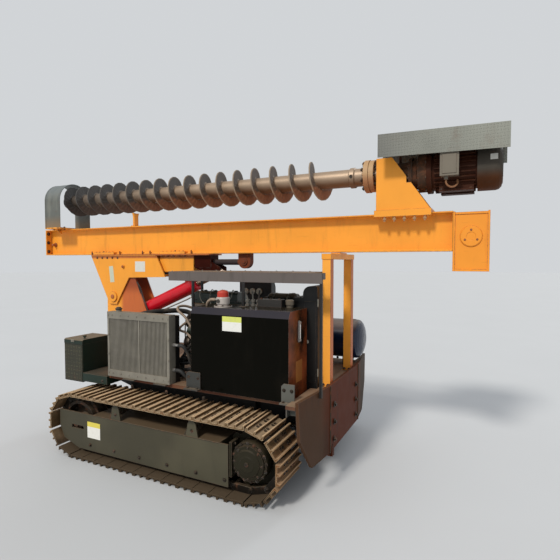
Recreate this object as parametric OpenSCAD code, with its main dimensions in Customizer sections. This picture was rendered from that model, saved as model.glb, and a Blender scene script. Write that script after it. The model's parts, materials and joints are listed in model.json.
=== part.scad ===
// Crawler pile driver rig: twin tracks, a chassis with tanks, engine and a rear weight
// plate, and a tilting I-beam mast that carries a motor-driven auger on a sliding carriage.
// Millimetres. +X runs to the machine's rear, +Y to its far side and +Z up.
// The origin is at the middle of the machine's box, on the ground.

/* [Mast] */
// Length of the mast beam from its foot to the head housing
beam_length = 4565; // [4000:5:4600]
// Height of the mast beam's section
beam_depth = 300;
// Width of the mast beam's flanges
beam_width = 150;
// Height of the beam's underside above the ground
beam_bottom = 1831;
// Distance of the mast pivot behind the beam's foot
pivot_from_foot = 1139;
// Height of the mast pivot above the ground
pivot_height = 1375;
// Length of the housing at the mast's head
head_length = 250;

/* [Auger] */
// Diameter over the auger's flights
auger_diameter = 338; // [300:2:344]
// Diameter of the auger's tube
auger_tube_diameter = 148; // [120:2:160]
// Rise of the flight in one turn
auger_pitch = 187;
// Number of turns of the flight
auger_turns = 17;
// Height of the auger's axis above the beam's top
auger_axis_rise = 319;

/* [Tracks] */
// Length of a track over its grousers
track_length = 2381;
// Height of a track over its grousers
track_height = 590;
// Width of the track shoes
shoe_width = 380; // [340:10:400]
// Width of the machine over the tracks
machine_width = 1900; // [1880:10:1960]
// Number of shoes in one track
shoe_count = 34;

/* [Chassis] */
// Height of the main deck's top
deck_top = 735;
// Length of the rear weight plate from side to side
rear_panel_width = 1780;
// Height of the oil tank's shoulder
tank_height = 606;
// Length of the oil tank
tank_length = 860;
// Height of the radiator
radiator_height = 575;

/* [Hidden] */

$fn = 48;

orange = [0.93, 0.42, 0.08];
dark_orange = [0.72, 0.22, 0.06];
red = [0.75, 0.08, 0.07];
black = [0.05, 0.05, 0.06];
dark_steel = [0.16, 0.15, 0.14];
olive = [0.24, 0.25, 0.18];
shoe_steel = [0.33, 0.29, 0.25];
grey = [0.55, 0.55, 0.53];
dark_green = [0.05, 0.18, 0.12];
brown = [0.24, 0.18, 0.14];
rusty = [0.36, 0.24, 0.17];
aluminium = [0.62, 0.62, 0.60];
dark_blue = [0.05, 0.10, 0.22];
white = [0.85, 0.84, 0.80];

// Clearances
seat = 0.3;
run_gap = 5;
slide_gap = 0.3;
pin_gap = 1;

// Mast
beam_rear = 2102;
foot_x = beam_rear - beam_length;
beam_top = beam_bottom + beam_depth;
beam_half = beam_width / 2;
flange = 10;
web = 8;
root = 12;
pivot_x = foot_x + pivot_from_foot;
head_rear = beam_rear + head_length;
head_bottom = beam_bottom - 151;

// Slide frame
plate_y = beam_half + 23;
plate_t = 14;
tray_t = 14;
tray_top = beam_bottom - slide_gap;
tray_bottom = tray_top - tray_t;
tray_half = plate_y + plate_t;
inner_y = plate_y - 38;
frame_end = pivot_x + 1032;
pivot_pin_r = 30;
slide_axis = beam_bottom - 82;
slide_rod_r = 28;
slide_barrel_r = 46;
gland_x = [pivot_x + 1054, pivot_x + 1246];
lug_x = [pivot_x + 1534, pivot_x + 1666];

// Tower and lift cylinder
tower_half = plate_y - run_gap;
tower_t = 12;
tower_front = pivot_x - 110;
tower_rear = pivot_x + 675;
lift_foot = [pivot_x + 108, pivot_height - 235];
lift_eye = [pivot_x + 1300, beam_bottom - 189];
lift_dx = lift_eye[0] - lift_foot[0];
lift_dz = lift_eye[1] - lift_foot[1];
lift_length = sqrt(lift_dx * lift_dx + lift_dz * lift_dz);
lift_angle = atan2(lift_dz, lift_dx);
lift_barrel_r = 72;
lift_barrel_length = lift_length - 283;
lift_rod_r = 32;
lift_eye_r = 46;
lift_pin_r = 19;
ear_y = 42;

// Carriage and auger
auger_axis = beam_top + auger_axis_rise;
auger_r = auger_diameter / 2;
tube_r = auger_tube_diameter / 2;
carriage_x = 1533;
carriage_length = 411;
carriage_plate_y = beam_half + 21;
carriage_plate_t = 16;
base_t = 25;
base_half = beam_half + 50;
plate_top = auger_axis + 114;
motor_axis = auger_axis - 12;
canopy_top = auger_axis + 260;
flange_t = 40;
drive_x = carriage_x - 25;
gear_x = carriage_x + 45;
ring_x = [gear_x + 202, gear_x + 227];
ring_r = 130;
flange_x = drive_x - 2 * flange_t;
flight_end = flange_x - 349;
flight_start = flight_end - auger_turns * auger_pitch;
tube_front = flight_start - 38;
socket_r = 38;
socket_depth = 120;

// Tracks
half_width = machine_width / 2;
track_y = half_width - shoe_width / 2;
grouser_r = track_height / 2;
grouser_h = 22;
shoe_t = 14;
plate_out = 40;
plate_in = plate_out - shoe_t;
pitch_r = grouser_r - grouser_h - plate_out;
link_in = -28;
track_rear = 1101;
sprocket_x = track_rear - grouser_r;
idler_x = track_rear - track_length + grouser_r;
axle_z = grouser_r;
wheel_base = sprocket_x - idler_x;
loop_length = 2 * wheel_base + 2 * PI * pitch_r;
shoe_pitch = loop_length / shoe_count;
chord_share = cos(90 * shoe_pitch / (PI * pitch_r));
tread_r = pitch_r * chord_share + link_in - 2;
link_w = 34;
link_y = 62;
rail_out = link_y + link_w / 2;
rail_in = link_y - link_w / 2;

// Track frames
frame_out = half_width - 50;
frame_in = 2 * track_y - frame_out;
frame_t = 12;
frame_half = (frame_out - frame_in) / 2;
frame_top = axle_z + 110;
frame_bottom = axle_z - 210;
frame_front = idler_x - 190;
frame_rear = sprocket_x - 166;
roller_r = 72;
roller_count = 6;
roller_z = grouser_r - pitch_r - link_in + roller_r + seat;
roller_first = idler_x + 330;
roller_step = (frame_rear - 180 - roller_first) / (roller_count - 1);
carrier_r = 30;
carrier_z = axle_z + pitch_r + link_in - carrier_r - seat;
carrier_x = [idler_x + 500, sprocket_x - 494];

// Chassis
deck_t = 30;
deck_bottom = deck_top - deck_t;
deck_near = -740;
deck_far = 780;
panel_x = 1260;
panel_t = 25;
panel_top = deck_top + 55;
panel_bottom = deck_top - 473;
panel_bend = 400;
panel_sweep = 60;
rear_half = rear_panel_width / 2;
rear_step = 25;
deck_rear = panel_x - panel_t;
tank_rear = 1072;
tank_x = tank_rear - tank_length;
tank_near = -770;
tank_far = tank_near + 345;
tank_bevel = 50;
tank_top = deck_top + tank_height + tank_bevel;
rad_x = -703;
rad_length = 695;
rad_core = [tank_near + 25, tank_near + 80];
fan_depth = 62;
roof_z = deck_top + tank_height + 249;
roof_x = [-150, 1155];
roof_y = [-600, -130];
box_x = [-1265, -1024];
box_y = [-770, -440];
box_z = [track_height + 44, deck_top + 250];
post_x = [1160, 1230];
post_y = [250, 320];
rest_top = beam_bottom - run_gap;

// A box between two corners given as ranges
module block(x, y, z) {
    translate([x[0], y[0], z[0]]) cube([x[1] - x[0], y[1] - y[0], z[1] - z[0]]);
}

// An outline of [x, z] points, thickened from y0 to y1
module plate_xz(points, y0, y1) {
    translate([0, y1, 0]) rotate([90, 0, 0]) linear_extrude(y1 - y0) polygon(points);
}

// An outline of [y, z] points, thickened from x0 to x1
module plate_yz(points, x0, x1) {
    translate([x0, 0, 0]) rotate([90, 0, 90]) linear_extrude(x1 - x0) polygon(points);
}

// An outline of [x, y] points, thickened from z0 to z1
module plate_xy(points, z0, z1) {
    translate([0, 0, z0]) linear_extrude(z1 - z0) polygon(points);
}

// Round bars along each axis
module bar_x(r, x0, x1, y, z) {
    translate([x0, y, z]) rotate([0, 90, 0]) cylinder(r = r, h = x1 - x0);
}
module bar_y(r, x, y0, y1, z) {
    translate([x, y1, z]) rotate([90, 0, 0]) cylinder(r = r, h = y1 - y0);
}
module bar_z(r, x, y, z0, z1) {
    translate([x, y, z0]) cylinder(r = r, h = z1 - z0);
}

// A turned piece from rows of [distance along its axis, radius], closed on the axis
module turned(rows) {
    rotate_extrude() polygon(concat(
        [[0, rows[0][0]]], [for (row = rows) [row[1], row[0]]], [[0, rows[len(rows) - 1][0]]]));
}
module turned_x(x, y, z, rows) {
    translate([x, y, z]) rotate([0, 90, 0]) turned(rows);
}
module turned_y(x, y, z, rows) {
    translate([x, y, z]) rotate([-90, 0, 0]) turned(rows);
}
module turned_z(x, y, z, rows) {
    translate([x, y, z]) turned(rows);
}

// Rows of a turned piece that is the same on both sides of its middle
function mirrored(rows) = concat(
    [for (i = [len(rows) - 1:-1:0]) [-rows[i][0], rows[i][1]]], rows);

// Points of an arc about [cx, cz]
function arc(cx, cz, r, from, to, steps = 6) = [
    for (i = [0:steps]) let (a = from + (to - from) * i / steps) [cx + r * cos(a), cz + r * sin(a)]];

// The same shape on the near and the far side
module both_sides() {
    children();
    mirror([0, 1, 0]) children();
}

// Tracks

// Point on the track loop at a distance s along its pitch line, h outside it
function on_loop(s, h) =
    let (half_turn = PI * pitch_r, u = s % loop_length)
    u < wheel_base ? [idler_x + u, axle_z - pitch_r - h]
    : u < wheel_base + half_turn ?
        let (a = (u - wheel_base) / pitch_r * 180 / PI)
        [sprocket_x + (pitch_r + h) * sin(a), axle_z - (pitch_r + h) * cos(a)]
    : u < 2 * wheel_base + half_turn ?
        [sprocket_x - (u - wheel_base - half_turn), axle_z + pitch_r + h]
    : let (a = (u - 2 * wheel_base - half_turn) / pitch_r * 180 / PI)
        [idler_x - (pitch_r + h) * sin(a), axle_z + (pitch_r + h) * cos(a)];

// Point beside the straight link between two pins: t along it, h outside it
function on_link(a, b, t, h) =
    let (d = b - a, n = norm(d), ux = d[0] / n, uz = d[1] / n)
    [a[0] + ux * t * n + uz * h, a[1] + uz * t * n - ux * h];

// Outline of one shoe as [share of its length, height above the pitch line]
grouser_w = 0.09;
shoe_end = 0.02;
shoe_profile = [
    [shoe_end, plate_in + shoe_t / 2], [shoe_end, plate_out + grouser_h],
    [shoe_end + grouser_w, plate_out + grouser_h], [shoe_end + grouser_w, plate_out],
    [0.5 - grouser_w / 2, plate_out], [0.5 - grouser_w / 2, plate_out + grouser_h],
    [0.5 + grouser_w / 2, plate_out + grouser_h], [0.5 + grouser_w / 2, plate_out],
    [1 - shoe_end - grouser_w, plate_out], [1 - shoe_end - grouser_w, plate_out + grouser_h],
    [1 - shoe_end, plate_out + grouser_h], [1 - shoe_end, plate_in + shoe_t / 2]];
// Inner edge of one link, in the same way
link_profile = [[0, link_in + 16], [0.2, link_in], [0.8, link_in]];

function loop_outline(profile) = [
    for (i = [0:shoe_count - 1])
        let (a = on_loop(i * shoe_pitch, 0), b = on_loop((i + 1) * shoe_pitch, 0))
        for (q = profile) on_link(a, b, q[0], q[1])];

module track_loop() {
    difference() {
        plate_xz(loop_outline(shoe_profile), track_y - shoe_width / 2, track_y + shoe_width / 2);
        plate_xz(loop_outline([[0, plate_in]]), 0, half_width + 1);
    }
    for (side = [-1, 1]) difference() {
        plate_xz(loop_outline([[0, plate_in + shoe_t / 4]]),
            track_y + side * link_y - link_w / 2, track_y + side * link_y + link_w / 2);
        plate_xz(loop_outline(link_profile), 0, half_width + 1);
    }
}
module track_far() {
    color(shoe_steel) track_loop();
}
module track_near() {
    color(shoe_steel) mirror([0, 1, 0]) track_loop();
}

// Side plate of a track frame, with the round-topped ears of the carrier rollers
module frame_side(y) {
    ear_r = 38;
    ear_z = carrier_z + 27;
    ear_foot = 64;
    plate_xz([[frame_front, frame_top], [frame_front, frame_top - 150],
        [frame_front + 55, frame_bottom + 65], [frame_front + 240, frame_bottom],
        [frame_rear, frame_bottom], [frame_rear, frame_top]], y, y + frame_t);
    for (x = carrier_x)
        plate_xz(concat([[x - ear_foot, frame_top - 30]], arc(x, ear_z, ear_r, 170, 10, 8),
            [[x + ear_foot, frame_top - 30]]), y, y + frame_t);
}
module track_frame() {
    slot_x = [frame_front + 155, frame_front + 290];
    slot_z = axle_z - 21;
    slot_r = 16;
    top_front = idler_x + 220;
    plates_rear = sprocket_x - pitch_r - 2 * run_gap;
    case_gap = 66;
    inside = [frame_in + frame_t, frame_out - frame_t];
    difference() {
        frame_side(frame_out - frame_t);
        block(slot_x, [0, half_width], [slot_z - slot_r, slot_z + slot_r]);
        bar_y(slot_r, slot_x[1], 0, half_width, slot_z);
    }
    frame_side(frame_in);
    block([top_front, plates_rear], inside, [frame_top - 14, frame_top]);
    block([plates_rear - frame_t, plates_rear], inside, [frame_bottom + 90, frame_top - 14]);
    for (y = [[inside[0], track_y - case_gap], [track_y + case_gap, inside[1]]])
        block([frame_rear - frame_t, frame_rear], y, [axle_z - 130, axle_z + 96]);
    block([top_front, top_front + frame_t], inside, [frame_top - 110, frame_top - 14]);
}
module track_frame_far() {
    color(olive) track_frame();
}
module track_frame_near() {
    color(olive) mirror([0, 1, 0]) track_frame();
}

// Spoked wheel with a guide rib between the links, on a plain shaft
module idlers() {
    rib = rail_in - 5;
    tread = rail_out + 6;
    web = 20;
    hub = 100;
    color(dark_steel) both_sides() {
        turned_y(idler_x, track_y, axle_z, mirrored([[rib - 6, tread_r + 16], [rib, tread_r],
            [tread, tread_r], [tread, tread_r - 26], [web, tread_r - 36], [web, 70], [hub, 58]]));
        bar_y(30, idler_x, frame_in + frame_t, frame_out - frame_t, axle_z);
    }
}

// Toothed plate of the drive sprocket, one tooth between each pair of pins
module sprocket(y0, y1) {
    teeth = round(2 * PI * pitch_r / shoe_pitch);
    first = ((ceil(wheel_base / shoe_pitch) + 0.5) * shoe_pitch - wheel_base) / pitch_r * 180 / PI;
    tooth = [[-0.34, pitch_r - 34], [-0.16, pitch_r + 2], [0.16, pitch_r + 2], [0.34, pitch_r - 34]];
    plate_xz([for (i = [0:teeth - 1], q = tooth)
        let (a = first + (i + q[0]) * 360 / teeth)
        [sprocket_x + q[1] * sin(a), axle_z - q[1] * cos(a)]], y0, y1);
}
module drive_hubs() {
    tooth_half = 18;
    case_r = 150;
    seat_x = [frame_rear + 8, frame_rear + 30];
    // Rows of [distance outwards from the track's middle, radius]
    casing = [[-frame_half, 118], [-96, 118], [-96, case_r], [-60, case_r], [-60, 172], [-30, 172],
        [-30, case_r], [frame_half - 40, case_r], [frame_half - 25, case_r - 6],
        [frame_half - 25, 130], [frame_half - 10, 125], [frame_half - 4, 102],
        [frame_half + 4, 94], [frame_half + 12, 62], [frame_half + 16, 54]];
    color(dark_steel) both_sides() {
        sprocket(track_y - tooth_half, track_y + tooth_half);
        turned_y(sprocket_x, track_y, axle_z, casing);
        block([frame_rear, sprocket_x], [frame_in, frame_in + 20], [axle_z - 100, axle_z + 100]);
        block(seat_x, [frame_in, frame_out - 4], [axle_z - 130, axle_z + 130]);
    }
}
module track_rollers() {
    inside = [frame_in + frame_t, frame_out - frame_t];
    // Rows of [distance from the middle, radius]: waist, tread, outer flange and hub
    bottom = mirrored([[rail_in - 8, 56], [rail_in - 1, roller_r], [rail_out + 1, roller_r],
        [rail_out + 5, roller_r + 12], [rail_out + 14, roller_r + 12], [rail_out + 14, 34], [112, 34]]);
    carrier = mirrored([[rail_in - 6, 20], [rail_in - 6, carrier_r], [rail_out + 4, carrier_r],
        [rail_out + 4, 22], [112, 22]]);
    color(dark_steel) both_sides() {
        for (i = [0:roller_count - 1]) {
            turned_y(roller_first + i * roller_step, track_y, roller_z, bottom);
            bar_y(24, roller_first + i * roller_step, inside[0], inside[1], roller_z);
        }
        for (x = carrier_x) {
            turned_y(x, track_y, carrier_z, carrier);
            bar_y(14, x, inside[0], inside[1], carrier_z);
        }
    }
}

// Chassis

module carbody() {
    box = [frame_front + 475, frame_rear];
    side = 480;
    belly = axle_z + 35;
    nose_half = 300;
    tail_half = 420;
    tail_end = panel_x - 80;
    color(dark_steel) {
        plate_yz([[-side, belly + 90], [90 - side, belly], [side - 90, belly], [side, belly + 90],
            [side, deck_bottom], [-side, deck_bottom]], box[0], box[1]);
        for (x = [idler_x + 465, sprocket_x - 476])
            block([x, x + 160], [-frame_in, frame_in], [axle_z - 65, axle_z + 95]);
        plate_xz([[box[1], belly + 60], [tail_end, belly + 190], [tail_end, deck_bottom],
            [box[1], deck_bottom]], -tail_half, tail_half);
        plate_xz([[tower_front, deck_bottom - 70], [box[0], belly + 110], [box[0], deck_bottom],
            [tower_front, deck_bottom]], -nose_half, nose_half);
    }
}

// Front of the rear panel at a distance y from the middle, where its wings sweep forward
function rear_edge(y) = deck_rear - seat - panel_sweep * (y - panel_bend) / (rear_half - panel_bend);

module deck() {
    nose_half = 300;
    front = box_x[0] - 25;
    edge = deck_rear - seat;
    near_front = rad_x - 16;
    step_x = [tank_rear + 30, post_x[0] - 5];
    color(brown) {
        plate_xy([[near_front, deck_near], [rear_edge(-deck_near), deck_near],
            [edge, -panel_bend], [edge, panel_bend], [rear_edge(deck_far), deck_far],
            [front, deck_far], [front, nose_half], [tower_front, nose_half],
            [tower_front, -nose_half], [front, -nose_half], [front, box_y[1]],
            [near_front, box_y[1]]], deck_bottom, deck_top);
        plate_xy([[step_x[0], -rear_half], [rear_edge(rear_half), -rear_half],
            [edge, -panel_bend], [edge, panel_bend], [rear_edge(rear_half), rear_half],
            [step_x[1], rear_half], [step_x[1], tank_far], [step_x[0], tank_far]],
            deck_top, deck_top + rear_step);
    }
}

// Two side plates that lean back to their foot, a front plate and the lift cylinder's bosses
module front_tower() {
    inner = tower_half - tower_t;
    top = tray_bottom - 237;
    heel = 140;
    toe = 120;
    color(orange) {
        both_sides() {
            difference() {
                plate_xz([[tower_front, deck_top], [tower_front, pivot_height - 40],
                    [pivot_x - 60, pivot_height + 60], [pivot_x + 60, pivot_height + 60],
                    [pivot_x + 150, top], [pivot_x + 293, top], [tower_rear, deck_top]],
                    inner, tower_half);
                bar_y(pivot_pin_r + pin_gap, pivot_x, 0, plate_y, pivot_height);
            }
            plate_yz([[tower_half, deck_top], [tower_half + 55, deck_top],
                [tower_half, deck_top + heel]], pivot_x - 60, pivot_x - 48);
            bar_y(40, lift_foot[0], ear_y, inner, lift_foot[1]);
        }
        block([tower_front, tower_front + tower_t], [-inner, inner],
            [deck_top, pivot_height - 330]);
        block([tower_rear - 90, tower_rear - 78], [-inner, inner], [deck_top, deck_top + toe]);
        bar_y(lift_pin_r, lift_foot[0], -ear_y, ear_y, lift_foot[1]);
    }
}

// Weight plate with wings that sweep forward, cut corners and a tow eye below
module rear_panel() {
    cut = 200;
    cut_rise = 250;
    corner = 25;
    wing_front = panel_x - panel_sweep;
    tow_x = [panel_x - 45, panel_x + 5];
    tow_y = [-360, -320];
    tow_drop = 46;
    tow_r = 13;
    color(brown) {
        block([deck_rear, panel_x], [-panel_bend, panel_bend], [panel_bottom, panel_top]);
        both_sides() intersection() {
            plate_yz([[panel_bend, panel_bottom], [rear_half - cut, panel_bottom],
                [rear_half - corner, panel_bottom + cut_rise], [rear_half, panel_top],
                [panel_bend, panel_top]], wing_front - panel_t, panel_x);
            plate_xy([[deck_rear, panel_bend], [panel_x, panel_bend], [wing_front, rear_half],
                [wing_front - panel_t, rear_half]], 0, panel_top);
        }
        both_sides() block([panel_x - 80, deck_rear], [300, 320], [panel_bottom + 60, deck_bottom]);
        difference() {
            block(tow_x, tow_y, [panel_bottom - tow_drop, panel_bottom + 40]);
            bar_y(tow_r, (tow_x[0] + tow_x[1]) / 2, tow_y[0] - 1, tow_y[1] + 1,
                panel_bottom - tow_drop / 2);
        }
    }
}
module mast_rest_posts() {
    foot = [deck_top + rear_step, deck_top + rear_step + 12];
    color(orange) both_sides() {
        block(post_x, post_y, [foot[0], rest_top - 55]);
        block([post_x[0] - 4, deck_rear - seat], [post_y[0] - 20, post_y[1] + 20], foot);
    }
}

// Channel over the posts, with a pad under the beam
module mast_rest_beam() {
    x = [post_x[0] - 5, post_x[1] + 5];
    end = post_y[1] + 5;
    pad_half = beam_half + 20;
    color(orange) difference() {
        block(x, [-end, end], [rest_top - 55, rest_top - 10]);
        block([x[0] - 1, x[1] - 12], [-post_y[0] + 20, post_y[0] - 20], [rest_top - 47, rest_top - 18]);
    }
    color(black) block(x, [-pad_half, pad_half], [rest_top - 10, rest_top]);
}
module oil_tank() {
    lip = 30;
    color(black) plate_yz([[tank_near, deck_top], [tank_near, deck_top + tank_height],
        [tank_near + lip, tank_top], [tank_far, tank_top], [tank_far, deck_top]],
        tank_x, tank_rear);
}
module tank_fittings() {
    filter = [tank_x + 228, tank_near + 123];
    breather = [tank_rear - 126, tank_near + 300];
    hatch_x = [tank_rear - 400, tank_rear - 186];
    hatch_y = [tank_far - 75, tank_far - 5];
    gauge_z = [tank_top - 241, tank_top - 81];
    color(white) {
        turned_z(filter[0], filter[1], tank_top, [[0, 72], [10, 72], [10, 44], [24, 44],
            [26, 52], [72, 54], [80, 50]]);
        turned_z(breather[0], breather[1], tank_top, [[0, 26], [22, 26], [22, 34], [54, 34], [62, 26]]);
        for (i = [0:2]) let (x = tank_x + 360 + i * 50, y = tank_near + 290) {
            turned_z(x, y, tank_top, [[0, 24], [12, 24], [12, 15], [34, 15], [34, 20], [52, 20]]);
            translate([x, y, tank_top + 52]) rotate([0, i * 14 - 20, 0])
                translate([-5, -5, 0]) cube([10, 10, 55 + i * 12]);
        }
    }
    color(red) turned_z(filter[0], filter[1], tank_top + 80, [[0, 46], [34, 46], [48, 36], [56, 14]]);
    color(grey) {
        block(hatch_x, hatch_y, [tank_top, tank_top + 60]);
        block([tank_rear, tank_rear + 6], [-602, -572], gauge_z);
        for (z = [gauge_z[0] + 15, gauge_z[1] - 15]) bar_x(11, tank_rear, tank_rear + 16, -587, z);
        block([tank_rear + 6, tank_rear + 12], [-594, -580], [gauge_z[0] + 18, gauge_z[1] - 18]);
    }
}

// Corner angles that hold the tank, and a folded bracket at the deck's rear corner
module tank_brackets() {
    // Columns: [first x, length, height]
    feet = [[tank_x - 40, 135, 137], [tank_rear - 54, 103, 141]];
    angle_t = 10;
    corner_x = [tank_rear + 28, tank_rear + 93];
    color(grey) {
        difference() {
            for (f = feet) {
                plate_xz([[f[0], deck_top], [f[0], deck_top + f[2] - 18],
                    [f[0] + 18, deck_top + f[2]], [f[0] + f[1], deck_top + f[2]],
                    [f[0] + f[1], deck_top]], tank_near - angle_t, tank_near);
                block([f[0], f[0] + f[1]], [tank_near - 48, tank_near - angle_t],
                    [deck_top, deck_top + angle_t]);
            }
            block([tank_rear + 30 - seat, panel_x], [-rear_half, 0], [0, deck_top + rear_step]);
        }
        for (x = [tank_x - angle_t, tank_rear])
            block([x, x + angle_t], [tank_near, tank_near + 80], [deck_top, deck_top + 85]);
        difference() {
            block(corner_x, [10 - rear_half, 70 - rear_half], [deck_top - 60, deck_top]);
            block([corner_x[0] + 8, corner_x[1] + 1], [0 - rear_half, 62 - rear_half],
                [deck_top - 61, deck_top - 8]);
        }
    }
}

// Core of upright tubes between two headers, with side channels and a middle seam
module radiator() {
    tubes = 46;
    header = 60;
    frame_w = 22;
    seam_x = rad_x + 364;
    z = [deck_top, deck_top + radiator_height];
    core_x = [rad_x + frame_w, rad_x + rad_length - frame_w];
    step = (core_x[1] - core_x[0]) / tubes;
    color(aluminium) {
        block([rad_x, rad_x + rad_length], rad_core, z);
        for (b = [z[0], z[1] - header])
            block([rad_x, rad_x + rad_length], [tank_near, rad_core[0]], [b, b + header]);
        for (x = [rad_x, rad_x + rad_length - frame_w])
            block([x, x + frame_w], [tank_near + 2, rad_core[0]], [z[0] + header, z[1] - header]);
        for (i = [0:tubes - 1])
            block([core_x[0] + (i + 0.25) * step, core_x[0] + (i + 0.75) * step],
                [tank_near + 8, rad_core[0]], [z[0] + header, z[1] - header]);
        block([seam_x - 4, seam_x + 4], [tank_near + 4, rad_core[0]], [z[0] + header, z[1] - header]);
        bar_z(24, rad_x + 90, rad_core[1] - 30, z[1], z[1] + 18);
    }
}

// Shroud behind the radiator with a fan on a cross bar
module cooler_fan() {
    y = [rad_core[1], rad_core[1] + fan_depth];
    z = [deck_top, deck_top + radiator_height - 12];
    mid = [rad_x + rad_length / 2, (z[0] + z[1]) / 2];
    ring_r = 236;
    wall = 6;
    blades = 7;
    color(black) {
        difference() {
            block([rad_x + 6, rad_x + rad_length - 6], y, z);
            block([rad_x + 12, rad_x + rad_length - 12], [y[0] - 1, y[1] - wall],
                [z[0] + wall, z[1] - wall]);
            bar_y(ring_r, mid[0], y[0], y[1] + 1, mid[1]);
        }
        block([mid[0] - ring_r - 10, mid[0] + ring_r + 10], [y[1], y[1] + 8],
            [mid[1] - 20, mid[1] + 20]);
        turned_y(mid[0], y[0] + 14, mid[1],
            [[0, 46], [8, 56], [fan_depth - 18, 56], [fan_depth + 4, 40]]);
        for (i = [0:blades - 1]) translate([mid[0], y[0] + 30, mid[1]]) rotate([0, i * 360 / blades, 0])
            translate([50, 0, 0]) rotate([32, 0, 0]) translate([0, -2, -38])
            cube([ring_r - 62, 4, 76]);
    }
}
module toolbox() {
    wall = 8;
    ledge = [box_x[1], rad_x - 16 - seat];
    rib = 6;
    color(dark_green) {
        difference() {
            block(box_x, box_y, box_z);
            block([box_x[0] + wall, box_x[1] - wall], [box_y[0] + wall, box_y[1] - wall],
                [box_z[0] + 90, box_z[1] + 1]);
        }
        block([box_x[0] + 30, box_x[1] - 30], [box_y[1], box_y[1] + 60], [deck_top, deck_top + 120]);
        difference() {
            block(ledge, [box_y[0], box_y[1] - seat], [box_z[0] + 12, deck_top - 13]);
            block([ledge[0] + rib, ledge[1] - rib], [box_y[0] + rib, box_y[1]],
                [box_z[0] + 11, deck_top - 13 - rib]);
        }
    }
}
module toolbox_lid() {
    rim = 6;
    z = [box_z[1] + seat, box_z[1] + 45];
    knob = [box_x[1] - 40, box_y[0] + 60];
    color(dark_green) {
        plate_yz([[box_y[0] - rim, z[0]], [box_y[0] - rim, z[1] - 10], [box_y[0] + 10, z[1]],
            [box_y[1] - 10, z[1]], [box_y[1] + rim, z[1] - 10], [box_y[1] + rim, z[0]]],
            box_x[0] + 4, box_x[1] + rim);
        turned_z(knob[0], knob[1], z[1], [[0, 12], [10, 8], [16, 8], [18, 17], [30, 17], [34, 12]]);
        bar_y(8, box_x[0], box_y[0] + 30, box_y[1] - 30, box_z[1] + 10);
    }
}

// Open diesel engine: sump, crankcase, head, rocker cover, pulleys, alternator and manifolds
module engine() {
    x = [-105, 435];
    mid = -240;
    crank_z = deck_top + 250;
    case_top = crank_z + 305;
    head_top = case_top + 110;
    cover_top = head_top + 80;
    color(dark_green) {
        plate_yz([[mid - 90, deck_top], [mid - 105, crank_z - 110], [mid - 140, crank_z - 90],
            [mid - 140, crank_z + 60], [mid - 110, case_top], [mid + 110, case_top],
            [mid + 140, crank_z + 60], [mid + 140, crank_z - 90], [mid + 105, crank_z - 110],
            [mid + 90, deck_top]], x[0], x[1]);
        block([x[0] + 5, x[1] - 5], [mid - 95, mid + 95], [case_top, head_top]);
        plate_yz(concat([[mid - 80, head_top], [mid - 80, cover_top - 30]],
            arc(mid - 50, cover_top - 30, 30, 180, 90, 4), arc(mid + 50, cover_top - 30, 30, 90, 0, 4),
            [[mid + 80, cover_top - 30], [mid + 80, head_top]]), x[0] + 20, x[1] - 60);
        turned_x(x[1], mid, crank_z, [[0, 178], [40, 178], [70, 160], [80, 160]]);
        turned_x(x[0] - 50, mid, crank_z + 60, [[0, 70], [20, 82], [50, 82]]);
        for (i = [0:3]) turned_z(x[0] + 90 + i * 110, mid, cover_top - 2, [[0, 16], [10, 16], [14, 12]]);
    }
    color(dark_steel) {
        turned_x(x[0] - 120, mid, crank_z, [[0, 70], [14, 78], [22, 70], [30, 78], [44, 70], [70, 60]]);
        turned_x(x[0] - 100, mid, crank_z + 200,
            [[0, 62], [16, 70], [24, 60], [32, 70], [44, 40], [100, 40]]);
        turned_x(x[0] + 20, mid - 150, crank_z + 130, [[0, 40], [8, 64], [90, 64], [110, 44]]);
        bar_x(30, x[0] + 60, x[1] - 40, mid - 118, case_top + 60);
        bar_x(34, x[0] + 40, x[1] - 60, mid + 118, case_top + 60);
        for (i = [0:3]) block([x[0] + 70 + i * 115, x[0] + 105 + i * 115], [mid - 120, mid + 120],
            [case_top + 36, case_top + 84]);
        turned_z(x[1] - 120, mid - 135, crank_z + 60, [[0, 30], [8, 38], [110, 38], [118, 26]]);
        block([x[1] - 140, x[1] - 100], [mid - 160, mid - 100], [crank_z + 10, crank_z + 60]);
        block([x[0] + 60, x[0] + 100], [mid - 150, mid - 120], [crank_z - 20, crank_z + 90]);
    }
}
module air_filter() {
    y = -250;
    z = tank_top + 20;
    r = 74;
    // Columns: [distance from the inlet end, radius]
    can = [[0, 40], [40, 40], [48, r - 8], [60, r], [262, r], [262, r + 6], [276, r + 6],
        [276, r], [306, r], [318, r - 14]];
    x = tank_rear - 462;
    color(black) {
        turned_x(x, y, z, can);
        for (s = [x + 100, x + 230]) difference() {
            block([s, s + 16], [y - r - 8, y + r + 8], [deck_top, z]);
            block([s - 1, s + 17], [y - r + 14, y + r - 14], [deck_top + 12, z - r - 20]);
            bar_x(r - 1, s - 1, s + 17, y, z);
        }
    }
}
module control_cabinet() {
    x = [1028, 1150];
    y = [-400, -160];
    top = roof_z - 30;
    shelf_x = 949;
    r = 62;
    color(black) {
        plate_xz(concat([[x[0], deck_top]], arc(x[0] + r, top - r, r, 180, 90, 6),
            arc(x[1] - 20, top - 20, 20, 90, 0, 3), [[x[1], deck_top]]), y[0], y[1]);
        block([shelf_x, x[0]], [y[0], y[1]], [deck_top, roof_z - 120]);
        block([shelf_x - 6, shelf_x], [y[0] + 30, y[1] - 30], [deck_top + 120, deck_top + 520]);
    }
}

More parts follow.
